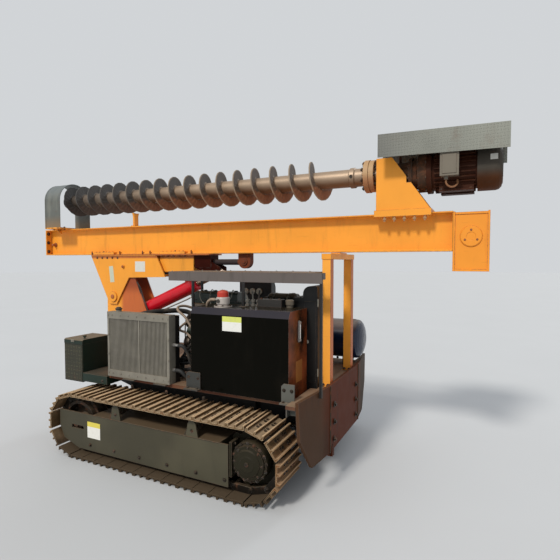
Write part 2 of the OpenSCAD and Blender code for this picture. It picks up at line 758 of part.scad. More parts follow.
// Folded sheet roof with lips round its edge and two ribs below
module roof() {
    top = roof_z + 79;
    sheet = 4;
    lip = 75;
    color(grey) {
        block(roof_x, roof_y, [top - sheet, top]);
        block(roof_x, [roof_y[0], roof_y[0] + sheet], [top - lip - sheet, top - sheet]);
        block([roof_x[0], roof_x[0] + sheet], [roof_y[0] + sheet, roof_y[1]],
            [top - 49, top - sheet]);
        for (x = [roof_x[0] + 360, roof_x[0] + 800])
            block([x, x + 30], [roof_y[0] + sheet, roof_y[1]], [top - 34, top - sheet]);
    }
}
module roof_posts() {
    t = 20;
    near = roof_y[0] + 4;
    underside = roof_z + 75;
    // Columns: [first x, foot's height]
    near_posts = [[roof_x[0] + 240, deck_top], [roof_x[1] - 27, deck_top + rear_step],
        [roof_x[0] + 730, tank_top]];
    color(dark_steel) {
        for (p = near_posts)
            block([p[0], p[0] + t], [near, near + t], [p[1], underside]);
        for (x = [roof_x[0] + 10, roof_x[1] - 27])
            block([x, x + t], [roof_y[1] - t, roof_y[1]], [deck_top, underside]);
    }
}

// Lying tank with dished ends on two saddles
module fuel_tank() {
    r = 190;
    dish = 74;
    x = [600, 1262];
    y = 640;
    z = deck_top + 250;
    bulge = [for (a = [15:15:75]) [dish * (1 - cos(a)), r * sin(a)]];
    rows = concat(bulge, [[dish, r], [x[1] - x[0] - dish, r]],
        [for (i = [len(bulge) - 1:-1:0]) [x[1] - x[0] - bulge[i][0], bulge[i][1]]]);
    color(dark_blue) {
        turned_x(x[0], y, z, rows);
        turned_z(x[0] + 200, y, z + r - 6, [[0, 40], [24, 40], [24, 48], [44, 48], [50, 40]]);
    }
    color(dark_steel) for (s = [x[0] + 110, x[1] - 190]) difference() {
        block([s, s + 40], [y - 130, deck_far - seat], [deck_top, z - 60]);
        bar_x(r + seat, s - 1, s + 41, y, z);
    }
}

// Standing console with a block of valves and their levers on the far side
module valve_bank() {
    x = [-50, 330];
    y = [430, 600];
    top = roof_z - 45;
    shelf = deck_top + 430;
    levers = 6;
    color(black) {
        plate_yz([[y[0], deck_top], [y[0], top], [y[0] + 70, top], [y[0] + 100, top - 60],
            [y[0] + 100, shelf], [y[1], shelf - 40], [y[1], deck_top]], x[0], x[1]);
        for (i = [0:levers - 1]) turned_z(x[0] + 50 + i * 56, y[1] - 28, shelf + 230,
            [[0, 9], [8, 16], [24, 18], [34, 9]]);
    }
    color(dark_steel) {
        block([x[0] + 20, x[1] - 20], [y[0] + 100, y[1] - 5], [shelf - 10, shelf + 60]);
        for (i = [0:levers - 1]) bar_z(7, x[0] + 50 + i * 56, y[1] - 28, shelf + 60, shelf + 230);
    }
}

// Slide frame

// V-shaped outer plates, inner plates beside the cylinder, the tray and the pivot pins
module slide_frame() {
    tray_x = [pivot_x - 329, pivot_x + 1254];
    cheek_x = [pivot_x + 620, frame_end];
    cheek_bottom = tray_bottom - 167;
    end_t = 14;
    boss_y = plate_y + 28;
    color(orange) {
        block(tray_x, [-tray_half, tray_half], [tray_bottom, tray_top]);
        both_sides() {
            plate_xz([[tray_x[0], tray_bottom], [pivot_x - 60, pivot_height - 82],
                [pivot_x + 43, pivot_height - 82], [pivot_x + 227, tray_bottom - 233],
                [pivot_x + 718, tray_bottom - 220], [pivot_x + 605, tray_bottom]],
                plate_y, plate_y + plate_t);
            bar_y(55, pivot_x, plate_y + plate_t, boss_y, pivot_height);
            bar_y(pivot_pin_r, pivot_x, tower_half - tower_t, plate_y, pivot_height);
            bar_y(16, pivot_x + 152, plate_y + plate_t, boss_y, tray_bottom - 116);
            plate_xz([[cheek_x[0], tray_bottom], [cheek_x[0], cheek_bottom + 60],
                [cheek_x[0] + 60, cheek_bottom], [cheek_x[1], cheek_bottom],
                [cheek_x[1], tray_bottom]], inner_y, inner_y + plate_t);
            for (x = [pivot_x + 240, pivot_x + 590])
                block([x, x + end_t], [inner_y, plate_y], [tray_bottom - 90, tray_bottom]);
        }
        difference() {
            block([frame_end, frame_end + end_t], [-inner_y - plate_t, inner_y + plate_t],
                [cheek_bottom, tray_bottom]);
            bar_x(slide_barrel_r, frame_end - 1, frame_end + end_t + 1, 0, slide_axis);
        }
    }
}

// Strips that hold the beam's bottom flange down on the tray
module frame_clamps() {
    strip_t = 16;
    cap_t = 14;
    strip_y = beam_half + run_gap;
    cap_z = beam_bottom + flange + slide_gap;
    bolt_r = 9;
    bolts = 6;
    // Columns: [first x, last x]
    strips = [[pivot_x - 316, pivot_x - 6], [pivot_x + 634, pivot_x + 954]];
    color(dark_orange) both_sides() for (x = strips) {
        block(x, [strip_y, strip_y + strip_t], [tray_top, cap_z + cap_t]);
        block(x, [beam_half - 30, strip_y], [cap_z, cap_z + cap_t]);
        for (i = [0:bolts - 1]) bar_z(bolt_r, x[0] + 30 + i * (x[1] - x[0] - 60) / (bolts - 1),
            strip_y + 2, cap_z + cap_t, cap_z + cap_t + 10);
    }
}

// Slide cylinder's barrel in its gland block, with the ears of the lift cylinder's eye
module slide_barrel() {
    barrel_x = [pivot_x + 670, pivot_x + 1224];
    block_half = 66;
    block_bottom = slide_axis - 57;
    ear_t = 18;
    ear_top = slide_axis + 11;
    color(dark_steel) difference() {
        union() {
            turned_x(barrel_x[0], 0, slide_axis, [[0, 38], [8, slide_barrel_r],
                [barrel_x[1] - barrel_x[0], slide_barrel_r]]);
            block(gland_x, [-block_half, block_half], [block_bottom, tray_bottom]);
            both_sides() {
                plate_xz([[gland_x[0], ear_top], [barrel_x[1], ear_top],
                    [lift_eye[0] + lift_eye_r, lift_eye[1] + 58],
                    [lift_eye[0] + lift_eye_r, lift_eye[1] - 36],
                    [lift_eye[0] - 36, lift_eye[1] - 42], [gland_x[0], block_bottom]],
                    ear_y, ear_y + ear_t);
                bar_y(34, lift_eye[0], ear_y, ear_y + ear_t + 6, lift_eye[1]);
            }
        }
        bar_x(slide_rod_r + pin_gap, barrel_x[0] + 20, gland_x[1] + 1, 0, slide_axis);
    }
}

// Mast

module mast_beam() {
    edge = [[beam_half, beam_bottom], [beam_half, beam_bottom + flange],
        [web / 2 + root, beam_bottom + flange], [web / 2, beam_bottom + flange + root],
        [web / 2, beam_top - flange - root], [web / 2 + root, beam_top - flange],
        [beam_half, beam_top - flange], [beam_half, beam_top]];
    color(orange) {
        plate_yz(concat(edge, [for (i = [len(edge) - 1:-1:0]) [-edge[i][0], edge[i][1]]]),
            foot_x, beam_rear);
        block([foot_x, foot_x + 14], [-beam_half, beam_half],
            [beam_bottom + flange, beam_top - flange]);
    }
}

// Housing at the mast's head: end plates proud of a recessed box, with a round boss
module mast_head() {
    proud = 2;
    recess = 6;
    end_t = 14;
    rim = 16;
    mid_x = (beam_rear + head_rear) / 2;
    boss_z = beam_bottom + 107;
    color(orange) {
        block([beam_rear, head_rear], [recess - beam_half, beam_half - recess],
            [head_bottom, beam_top - 12]);
        for (x = [beam_rear, head_rear - end_t])
            block([x, x + end_t], [-beam_half - proud, beam_half + proud],
                [head_bottom, beam_top - 6]);
        block([beam_rear, head_rear], [-beam_half, beam_half], [head_bottom, head_bottom + rim]);
        block([beam_rear, head_rear], [-beam_half, beam_half], [beam_top - 12 - rim, beam_top - 12]);
        turned_y(mid_x, 0, boss_z, mirrored([[beam_half - recess, 78], [beam_half, 75],
            [beam_half + 5, 70], [beam_half + 5, 34], [beam_half + 2, 30]]));
    }
}

// Sheet arch that steadies the auger near the beam's foot
module auger_guide() {
    x = [foot_x + 175, foot_x + 430];
    outer = 205;
    t = 5;
    rim = 14;
    mid_z = auger_axis + 207 - outer;
    base_z = [beam_top, beam_top + 14];
    color(grey) difference() {
        union() {
            bar_x(outer - 2, x[0], x[1], 0, mid_z);
            block(x, [2 - outer, outer - 2], [base_z[1], mid_z]);
            for (e = [x[0], x[1] - rim]) {
                bar_x(outer, e, e + rim, 0, mid_z);
                block([e, e + rim], [-outer, outer], [base_z[1], mid_z]);
            }
        }
        bar_x(outer - t, x[0] - 1, x[1] + 1, 0, mid_z);
        block([x[0] - 1, x[1] + 1], [t - outer, outer - t], [base_z[0], mid_z]);
    }
    color(orange) {
        block(x, [-outer, outer], base_z);
        both_sides() plate_yz([[beam_half, base_z[0] - 60], [beam_half + 70, base_z[0]],
            [beam_half, base_z[0]]], x[0] + 100, x[0] + 112);
    }
}

// Post with a saddle below the auger
module auger_rest() {
    x = [foot_x + 1336, foot_x + 1393];
    saddle = auger_r + 8;
    prong = 40;
    color(orange) {
        block(x, [-40, 40], [beam_top, beam_top + 12]);
        difference() {
            plate_yz([[-28, beam_top + 12], [-28, auger_axis - auger_r - 40],
                [-prong, auger_axis - auger_r], [prong, auger_axis - auger_r],
                [28, auger_axis - auger_r - 40], [28, beam_top + 12]], x[0] + 17, x[1] - 17);
            bar_x(saddle, x[0], x[1], 0, auger_axis);
        }
    }
}
module slide_rod() {
    lug_half = 30;
    mid_x = (lug_x[0] + lug_x[1]) / 2;
    color(rusty) {
        bar_x(slide_rod_r, pivot_x + 900, lug_x[0] + 20, 0, slide_axis);
        bar_y(66, mid_x, -lug_half, lug_half, slide_axis + 5);
        block(lug_x, [-lug_half, lug_half], [slide_axis + 5, beam_bottom]);
        turned_y(mid_x, 0, slide_axis + 5, mirrored([[lug_half, 34], [lug_half + 12, 34],
            [lug_half + 12, 18], [lug_half + 20, 18]]));
    }
}

// Carriage and drive

// Gusset plates on a base that grips the beam's top flange between gibs and keepers
module carriage() {
    rear = carriage_x + carriage_length;
    base_x = [carriage_x - 12, rear + 8];
    base_z = [beam_top + slide_gap, beam_top + base_t];
    keeper_z = [beam_top - flange - slide_gap - 16, beam_top - flange - slide_gap];
    front_x = [carriage_x + 20, carriage_x + 45];
    shaft_hole = 90;
    bolts = 5;
    color(orange) {
        block(base_x, [-base_half, base_half], base_z);
        both_sides() {
            difference() {
                plate_xz([[carriage_x, base_z[1]], [carriage_x, plate_top],
                    [carriage_x + 123, plate_top], [rear, base_z[1]]],
                    carriage_plate_y, carriage_plate_y + carriage_plate_t);
                bar_x(ring_r + run_gap, ring_x[0] - 3 * run_gap, rear, 0, motor_axis);
            }
            block(base_x, [beam_half + run_gap, base_half], [keeper_z[0], base_z[0]]);
            block(base_x, [beam_half - 30, beam_half + run_gap], keeper_z);
            for (i = [0:bolts - 1])
                bar_z(9, carriage_x + 40 + i * (carriage_length - 60) / (bolts - 1),
                    beam_half + 27, keeper_z[0] - 12, keeper_z[0]);
        }
        difference() {
            block(front_x, [-carriage_plate_y, carriage_plate_y], [base_z[1], plate_top - 30]);
            bar_x(shaft_hole, front_x[0] - 1, front_x[1] + 1, 0, auger_axis);
        }
    }
}

// Stepped reduction gearbox on the motor's axis, standing on the carriage's base
module gearbox() {
    body_r = 95;
    bell_r = 145;
    length = 335;
    color(dark_steel) {
        bar_x(84, carriage_x + seat, gear_x, 0, auger_axis);
        turned_x(gear_x, 0, motor_axis, [[0, body_r - 12], [12, body_r], [ring_x[0] - gear_x, body_r],
            [ring_x[0] - gear_x, ring_r], [ring_x[1] - gear_x, ring_r],
            [ring_x[1] - gear_x, ring_r - 12], [length - 77, ring_r - 12],
            [length - 63, bell_r], [length, bell_r]]);
        plate_yz([[-90, beam_top + base_t], [-60, motor_axis - 70], [60, motor_axis - 70],
            [90, beam_top + base_t]], gear_x + 22, gear_x + 182);
        for (i = [0:7]) translate([ring_x[0], 0, motor_axis]) rotate([i * 45 + 22.5, 0, 0])
            bar_x(9, -10, 0, 0, ring_r - 14);
    }
}

// Finned drive motor with a flange, foot rails, a lifting eye and a fan cover
module motor() {
    flange_at = carriage_x + 380;
    body = [flange_at + 36, carriage_x + 729];
    end = carriage_x + 893;
    fins = 28;
    fin_t = 6;
    flange_r = 160;
    body_r = 140;
    cover_r = 162;
    feet_x = [carriage_x + 470, carriage_x + 707];
    color(dark_steel) {
        turned_x(flange_at, 0, motor_axis, [[0, flange_r], [36, flange_r], [36, body_r],
            [body[1] - flange_at, body_r], [body[1] - flange_at, cover_r],
            [end - flange_at - 44, cover_r], [end - flange_at - 22, cover_r - 7],
            [end - flange_at - 6, cover_r - 24], [end - flange_at, cover_r - 48]]);
        for (i = [0:fins - 1]) translate([0, 0, motor_axis]) rotate([i * 360 / fins, 0, 0])
            block([body[0] + 21, body[1] - 12], [-fin_t / 2, fin_t / 2],
                [body_r - 10, flange_r]);
        both_sides() plate_yz([[60, motor_axis - 120], [60, motor_axis - 150],
            [50, motor_axis - 165], [130, motor_axis - 165], [130, motor_axis - 153],
            [100, motor_axis - 150], [100, motor_axis - 80]], feet_x[0], feet_x[1]);
    }
}
module terminal_box() {
    rim = 3;
    lid_y = -235;
    x = [carriage_x + 485, carriage_x + 612];
    z = [motor_axis - 73, motor_axis + 95];
    color(dark_steel) {
        block([x[0] + rim, x[1] - rim], [lid_y, -160 - seat], [z[0] + rim, z[1] - rim]);
        bar_z(14, x[0] + 40, -200, z[0] - 22, z[0] + rim);
    }
    color(grey) {
        block(x, [lid_y - 6, lid_y], z);
        block([x[0] + 16, x[1] - 16], [lid_y - 10, lid_y - 6], [z[0] + 16, z[1] - 16]);
    }
}

// Chequer-plate hood that falls towards the rear, on hangers from the carriage and the motor
module head_canopy() {
    x = [carriage_x + 42, carriage_x + 930];
    half = 257;
    t = 4;
    skirt = 172;
    fall = 20;
    function under(at) = canopy_top - t - fall * (at - x[0]) / (x[1] - x[0]);
    hanger_x = [carriage_x + 50, carriage_x + 100];
    strut_x = [carriage_x + 380, carriage_x + 416];
    color(dark_steel) {
        plate_xz([[x[0], under(x[0]) + t], [x[1], under(x[1]) + t], [x[1], under(x[1])],
            [x[0], under(x[0])]], -half, half);
        both_sides() {
            plate_xz([[x[0], under(x[0])], [x[1], under(x[1])], [x[1], canopy_top - fall - skirt],
                [x[0], canopy_top - skirt]], half - t, half);
            plate_xz([[hanger_x[0], plate_top], [hanger_x[0], under(hanger_x[0])],
                [hanger_x[1], under(hanger_x[1])], [hanger_x[1], plate_top]],
                carriage_plate_y, carriage_plate_y + carriage_plate_t);
        }
        plate_xz([[strut_x[0], motor_axis + 160 + seat], [strut_x[0], under(strut_x[0])],
            [strut_x[1], under(strut_x[1])], [strut_x[1], motor_axis + 160 + seat]], -20, 20);
        for (at = [x[0] + 8, x[1] - 38])
            block([at, at + 30], [t - half, half - t], [under(at + 30) - 16, under(at + 30)]);
    }
}

// Auger

module auger_stem() {
    joint_r = 132;
    collar = [flange_x - 138, flange_x - 83];
    color(dark_steel) {
        difference() {
            bar_x(tube_r, tube_front, flange_x, 0, auger_axis);
            bar_x(socket_r, tube_front - 1, tube_front + socket_depth, 0, auger_axis);
        }
        turned_x(collar[0], 0, auger_axis, [[0, tube_r], [10, tube_r + 10],
            [collar[1] - collar[0] - 10, tube_r + 10], [collar[1] - collar[0], tube_r]]);
        turned_x(flange_x, 0, auger_axis, [[0, joint_r], [flange_t - 2, joint_r],
            [flange_t - 2, joint_r - 10], [flange_t + 2, joint_r - 10], [flange_t + 2, joint_r - 4],
            [2 * flange_t, joint_r - 4], [2 * flange_t, 60], [carriage_x - flange_x, 60]]);
        for (i = [0:7]) translate([flange_x, 0, auger_axis]) rotate([i * 45, 0, 0])
            bar_x(10, -12, 0, 0, joint_r - 24);
    }
}

// Corner of the flight's ribbon: station i, inner or outer edge, front or back face
flight_steps = 20;
flight_t = 10;
function flight_point(i, r, dx) =
    let (a = i * 360 / flight_steps)
    [flight_start + i * auger_pitch / flight_steps + dx, r * cos(a), auger_axis + r * sin(a)];

module auger_flight() {
    inner = tube_r / cos(180 / flight_steps) + seat;
    last = auger_turns * flight_steps;
    points = [for (i = [0:last]) each [
        flight_point(i, inner, 0), flight_point(i, auger_r, 0),
        flight_point(i, auger_r, flight_t), flight_point(i, inner, flight_t)]];
    faces = concat(
        [[3, 2, 1, 0]],
        [for (i = [0:last - 1], k = [0:3])
            let (n = (k + 1) % 4)
            each [[4 * i + k, 4 * i + n, 4 * i + 4 + n], [4 * i + k, 4 * i + 4 + n, 4 * i + 4 + k]]],
        [[4 * last, 4 * last + 1, 4 * last + 2, 4 * last + 3]]);
    color(dark_steel) polyhedron(points, faces);
}

// Lift cylinder

module along_lift() {
    translate([lift_foot[0], 0, lift_foot[1]]) rotate([0, -lift_angle, 0]) children();
}
module lift_barrel() {
    lug_half = 36;
    start = 50;
    gland = 60;
    color(red) along_lift() difference() {
        union() {
            turned_x(start, 0, 0, [[0, lift_barrel_r - 8], [8, lift_barrel_r],
                [lift_barrel_length - start - gland, lift_barrel_r],
                [lift_barrel_length - start - gland, lift_barrel_r - 4],
                [lift_barrel_length - start, lift_barrel_r - 4]]);
            bar_y(40, 0, -lug_half, lug_half, 0);
            block([0, start + 10], [-lug_half, lug_half], [-40, 40]);
            for (x = [start + 70, lift_barrel_length - gland - 60])
                bar_z(16, x, 0, lift_barrel_r - 6, lift_barrel_r + 20);
        }
        bar_x(lift_rod_r + pin_gap, 90, lift_barrel_length + 1, 0, 0);
        bar_y(lift_pin_r + pin_gap, 0, -lug_half - 1, lug_half + 1, 0);
    }
}
module lift_rod() {
    eye_half = 34;
    color(rusty) along_lift() difference() {
        union() {
            bar_x(lift_rod_r, lift_length - 900, lift_length - 20, 0, 0);
            bar_y(lift_eye_r, lift_length, -eye_half, eye_half, 0);
        }
        bar_y(lift_pin_r + pin_gap, lift_length, -eye_half - 1, eye_half + 1, 0);
    }
}

track_near();
track_far();
track_frame_near();
track_frame_far();
idlers();
drive_hubs();
track_rollers();
carbody();
deck();
front_tower();
rear_panel();
mast_rest_posts();
mast_rest_beam();
oil_tank();
tank_fittings();
tank_brackets();
radiator();
cooler_fan();
toolbox();
toolbox_lid();
engine();
air_filter();
control_cabinet();
roof();
roof_posts();
fuel_tank();
valve_bank();
slide_frame();
frame_clamps();
slide_barrel();
mast_beam();
mast_head();
auger_guide();
auger_rest();
slide_rod();
carriage();
gearbox();
motor();
terminal_box();
head_canopy();
auger_stem();
auger_flight();
lift_barrel();
lift_rod();
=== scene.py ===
"""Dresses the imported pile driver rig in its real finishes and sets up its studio.

Pieces are measured in the frame's own axes: X to the machine's rear, Y to its far side, Z up.
Sizes in the shape helpers are millimetres; finishes read metres.
"""

import json
from math import cos, pi, radians, sin, tau

import bmesh
import bpy
from mathutils import Matrix, Vector


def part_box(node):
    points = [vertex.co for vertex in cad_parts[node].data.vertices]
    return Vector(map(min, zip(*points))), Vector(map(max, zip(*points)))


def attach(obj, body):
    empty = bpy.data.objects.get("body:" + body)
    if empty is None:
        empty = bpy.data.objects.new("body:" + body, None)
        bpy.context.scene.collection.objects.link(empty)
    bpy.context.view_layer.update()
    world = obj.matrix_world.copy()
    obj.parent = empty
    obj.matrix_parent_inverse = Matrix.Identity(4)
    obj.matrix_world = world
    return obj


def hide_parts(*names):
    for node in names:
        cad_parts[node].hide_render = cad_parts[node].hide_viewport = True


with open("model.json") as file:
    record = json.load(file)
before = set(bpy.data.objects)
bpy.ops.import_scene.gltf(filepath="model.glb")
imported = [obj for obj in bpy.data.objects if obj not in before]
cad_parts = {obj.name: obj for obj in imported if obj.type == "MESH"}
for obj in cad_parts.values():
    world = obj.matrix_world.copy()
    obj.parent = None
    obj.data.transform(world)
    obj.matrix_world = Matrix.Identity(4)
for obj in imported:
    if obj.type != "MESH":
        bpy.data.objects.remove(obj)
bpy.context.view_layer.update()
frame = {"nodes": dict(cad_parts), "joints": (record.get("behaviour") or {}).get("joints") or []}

bl_info = {
    "name": "Pile driver rig",
    "version": (1, 0, 0),
    "blender": (4, 5, 0),
    "location": "3D View > Sidebar > Rig",
    "description": "Dresses a crawler pile driver rig and sets up its studio",
    "category": "Object",
}

MM = 0.001
X, Y, Z = Vector((1, 0, 0)), Vector((0, 1, 0)), Vector((0, 0, 1))
SIDES = (-1, 1)


def span(node):
    """The x, y and z ranges of a CAD node in millimetres"""
    low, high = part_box(node)
    return [(low[i] / MM, high[i] / MM) for i in range(3)]


def joint(name):
    """A joint of the frame by its name"""
    return next(each for each in frame["joints"] if each["name"] == name)


def about(middle, half):
    """The range that reaches as far to both sides of a middle"""
    return middle - half, middle + half


# Places that several pieces share, read from the frame
BEAM_X, BEAM_Y, BEAM_Z = span("mast_beam")
TANK_X, TANK_Y, TANK_Z = span("oil_tank")
BOX_X, BOX_Y, BOX_Z = span("toolbox")
RAD_X, RAD_Y, RAD_Z = span("radiator")
GUIDE_X, _, GUIDE_Z = span("auger_guide")
FLIGHT_X, FLIGHT_Y, _ = span("auger_flight")
HEAD_X, PANEL_X, MOTOR_X = (span(node)[0] for node in ("mast_head", "rear_panel", "motor"))
TRACK_Y, FRAME_Y, DECK_Y = (span(node)[1] for node in ("track_far", "track_frame_far", "deck"))
DECK_TOP = span("front_tower")[2][0]
PIVOT = Vector(joint("mast_raise")["pos_m"]) / MM
AUGER_AXIS = sum(span("auger_stem")[2]) / 2
MOTOR_AXIS = AUGER_AXIS - 12
GUIDE_FOOT = GUIDE_Z[0] + 74


class RigColours(bpy.types.PropertyGroup):
    """Main colours of the rig's finishes"""
    orange: bpy.props.FloatVectorProperty(
        name="Orange", description="Mast, tower and carriage paint", subtype="COLOR",
        default=(0.85, 0.333, 0.032))
    red: bpy.props.FloatVectorProperty(
        name="Red", description="Lift cylinder and filter cap paint", subtype="COLOR",
        default=(0.56, 0.006, 0.018))
    olive: bpy.props.FloatVectorProperty(
        name="Olive", description="Track frame paint", subtype="COLOR",
        default=(0.048, 0.043, 0.026))
    green: bpy.props.FloatVectorProperty(
        name="Green", description="Toolbox and engine paint", subtype="COLOR",
        default=(0.008, 0.020, 0.013))
    brown: bpy.props.FloatVectorProperty(
        name="Brown", description="Deck and rear weight plate", subtype="COLOR",
        default=(0.100, 0.025, 0.008))
    blue: bpy.props.FloatVectorProperty(
        name="Blue", description="Fuel tank paint", subtype="COLOR",
        default=(0.006, 0.012, 0.038))
    dust: bpy.props.FloatVectorProperty(
        name="Dust", description="Dry earth that has settled", subtype="COLOR",
        default=(0.30, 0.22, 0.14))


class RigSizes(bpy.types.PropertyGroup):
    """Sizes of the trim that the solids leave out"""
    shoe_count: bpy.props.IntProperty(
        name="Shoes", description="Number of shoes in one track", default=34, min=20, max=60)


class StageSizes(bpy.types.PropertyGroup):
    """Where the camera and the floor are"""
    camera_place: bpy.props.FloatVectorProperty(
        name="Camera place", description="Where the camera stands", subtype="XYZ", unit="LENGTH",
        default=(2.324, -3.526, 1.749))
    camera_turn: bpy.props.FloatProperty(
        name="Camera turn", description="Turn to the left of straight across", subtype="ANGLE",
        default=radians(25.6))
    camera_tilt: bpy.props.FloatProperty(
        name="Camera tilt", description="Tilt below level", subtype="ANGLE", default=radians(2.4))
    camera_lens: bpy.props.FloatProperty(
        name="Lens", description="Focal length in mm on a 36 mm sensor", default=27.514)
    floor_radius: bpy.props.FloatProperty(
        name="Floor radius", description="Radius of the flat floor", unit="LENGTH", default=80.0)


# Shader maths

def level_maths(operation, swapped=False):
    """A method that feeds a level and another value to one maths node"""
    def method(self, other):
        values = (other, self) if swapped else (self, other)
        return self.finish.node("ShaderNodeMath", {"operation": operation}, *values)
    return method


class Level:
    """A shader socket that Python's operators work on"""

    def __init__(self, finish, socket):
        self.finish = finish
        self.socket = socket

    __add__ = __radd__ = level_maths("ADD")
    __sub__ = level_maths("SUBTRACT")
    __rsub__ = level_maths("SUBTRACT", swapped=True)
    __mul__ = __rmul__ = level_maths("MULTIPLY")
    __truediv__ = level_maths("DIVIDE")
    __pow__ = level_maths("POWER")
    __mod__ = level_maths("FLOORED_MODULO")
    __gt__ = level_maths("GREATER_THAN")
    __lt__ = level_maths("LESS_THAN")
    most = level_maths("MAXIMUM")

    def maths(self, operation, *others, clamp=False):
        """Any other operation of the maths node"""
        return self.finish.node(
            "ShaderNodeMath", {"operation": operation, "use_clamp": clamp}, self, *others)

    def smooth(self, low, high):
        """0 below the low value, 1 above the high one, eased between them"""
        return self.finish.node(
            "ShaderNodeMapRange", {"interpolation_type": "SMOOTHSTEP"}, self, low, high)


class Finish:
    """A material built from nodes on the part's own coordinates"""

    def __init__(self, name):
        self.material = bpy.data.materials.new(name)
        self.material.use_nodes = True
        self.tree = self.material.node_tree
        self.shader = self.tree.nodes["Principled BSDF"]
        self.earth = tuple(bpy.context.scene.rig_colours.dust)
        self.place = self.node("ShaderNodeTexCoord", {}, output="Object")
        self.x, self.y, self.z = (
            self.node("ShaderNodeSeparateXYZ", {}, self.place, output=k) for k in "XYZ")

    def put(self, socket, value):
        """Links a level to a socket, or sets the socket to a number or colour"""
        if isinstance(value, Level):
            self.tree.links.new(value.socket, socket)
        elif hasattr(socket.default_value, "__len__") and len(socket.default_value) == 4:
            socket.default_value = (*value, 1)
        else:
            socket.default_value = value

    def node(self, kind, settings, *values, output=None, **named):
        """Adds a node, sets it up and feeds its sockets with values or other nodes"""
        node = self.tree.nodes.new(kind)
        for key, value in settings.items():
            setattr(node, key, value)
        sockets = [socket for socket in node.inputs if socket.enabled]
        for socket, value in zip(sockets, values):
            self.put(socket, value)
        for name, value in named.items():
            self.put(node.inputs[name], value)
        outputs = [socket for socket in node.outputs if socket.enabled]
        return Level(self, node.outputs[output] if output else outputs[0])

    def mix(self, share, a, b):
        """Colour b over colour a by a share"""
        return self.node("ShaderNodeMix", {"data_type": "RGBA"}, share, a, b)

    def clouds(self, size, detail=3.0, rough=0.55, stretch=None):
        """Cloudy noise from 0 to 1, with patches of about the given size in metres"""
        place = self.place
        if stretch:
            place = self.node("ShaderNodeVectorMath", {"operation": "MULTIPLY"}, place, stretch)
        return self.node("ShaderNodeTexNoise", {}, Vector=place, Scale=1 / size, Detail=detail,
                         Roughness=rough)

    def facing_up(self):
        """1 on surfaces that face up, 0 on walls and undersides"""
        normal = self.node("ShaderNodeNewGeometry", {}, output="Normal")
        return self.node("ShaderNodeSeparateXYZ", {}, normal, output="Z").smooth(0.35, 0.95)

    def edges(self, radius):
        """1 along outer edges within a radius in metres"""
        flat = self.node("ShaderNodeNewGeometry", {}, output="Normal")
        rounded = self.node("ShaderNodeBevel", {"samples": 4}, radius)
        same = self.node("ShaderNodeVectorMath", {"operation": "DOT_PRODUCT"}, flat, rounded,
                         output="Value")
        return same.smooth(0.995, 0.80)

    def within(self, x=None, y=None, z=None):
        """1 inside ranges of the part's axes, given in millimetres"""
        mask = None
        for level, limits in ((self.x, x), (self.y, y), (self.z, z)):
            if limits:
                inside = (level > limits[0] * MM) * (level < limits[1] * MM)
                mask = inside if mask is None else mask * inside
        return mask

    def patched(self, tone, patch):
        """A tone with the masks and colours of a patch over it"""
        for mask, other in patch:
            tone = self.mix(mask, tone, other)
        return tone

    def film(self, up, cloudy, less, amount):
        """Settled dust from 0 to 1, thickest on surfaces that face up"""
        return (self.facing_up() * up + cloudy - less).maths("MULTIPLY", amount, clamp=True)

    def bump(self, height, depth, strength=1.0):
        """Surface relief from a height of 0 to 1, with its depth in metres"""
        self.put(self.shader.inputs["Normal"],
                 self.node("ShaderNodeBump", {}, Strength=strength, Distance=depth, Height=height))

    def surface(self, colour, roughness, metallic=0.0, coat=0.0, shine=None):
        """Sets the shader and gives the finished material"""
        self.put(self.shader.inputs["Base Color"], colour)
        self.put(self.shader.inputs["Roughness"], roughness)
        self.put(self.shader.inputs["Metallic"], metallic)
        if coat:
            self.put(self.shader.inputs["Coat Weight"], coat)
            self.shader.inputs["Coat Roughness"].default_value = 0.12
        if shine is not None:
            self.shader.inputs["Specular IOR Level"].default_value = shine
        return self.material


RUST = (0.115, 0.040, 0.016)
BARE = (0.30, 0.28, 0.26)
GRIME = (0.022, 0.018, 0.014)


def shade(colour, factor):
    """A colour made darker or lighter"""
    return tuple(min(1.0, c * factor) for c in colour)


def painted(f, colour, gloss=0.35, dust=0.35, wear=0.5, grime=0.35, coat=0.0, tint=None,
            under=RUST, shine=0.3, patch=()):
    """Enamel on steel: faded patches, runs, scratches, chipped edges and settled dust.

    A patch lists masks and colours of other paint, of stains and of painted shade and light.
    """
    tone = f.mix(f.clouds(0.45, 4), shade(colour, 0.82), shade(colour, 1.16))
    if tint:
        tone = f.mix(f.clouds(0.9, 3).smooth(0.42, 0.68) * 0.7, tone, tint)
    tone = f.patched(tone, patch)
    runs = f.clouds(0.09, 5, 0.65, stretch=(1.0, 1.0, 0.16)).smooth(0.52, 0.80) * grime
    tone = f.mix(runs, tone, GRIME)
    scratch = f.clouds(0.012, 2, 0.5, stretch=(0.09, 1.0, 1.0)).smooth(0.69, 0.74) * (0.45 * wear)
    tone = f.mix(scratch, tone, shade(colour, 0.45))
    speck = f.clouds(0.035, 6, 0.72)
    chips = (f.edges(0.006) * 0.34 + speck).smooth(0.80 - 0.14 * wear, 0.86 - 0.14 * wear)
    steel = f.mix(f.clouds(0.02, 4), under, shade(BARE, 0.5))
    tone = f.mix(chips, tone, steel)
    film = f.film(0.75, f.clouds(0.30, 5, 0.6) * 0.55, 0.32, dust * 1.5)
    tone = f.mix(film, tone, f.earth)
    f.bump(chips * -0.6 + f.clouds(0.006, 2) * 0.10 + f.clouds(0.05, 3) * 0.25, 0.0012, 0.6)
    rough = gloss + film * 0.5 + chips * 0.35 + f.clouds(0.14, 4) * 0.16 - 0.05
    return f.surface(tone, rough, chips * 0.35, coat, shine)


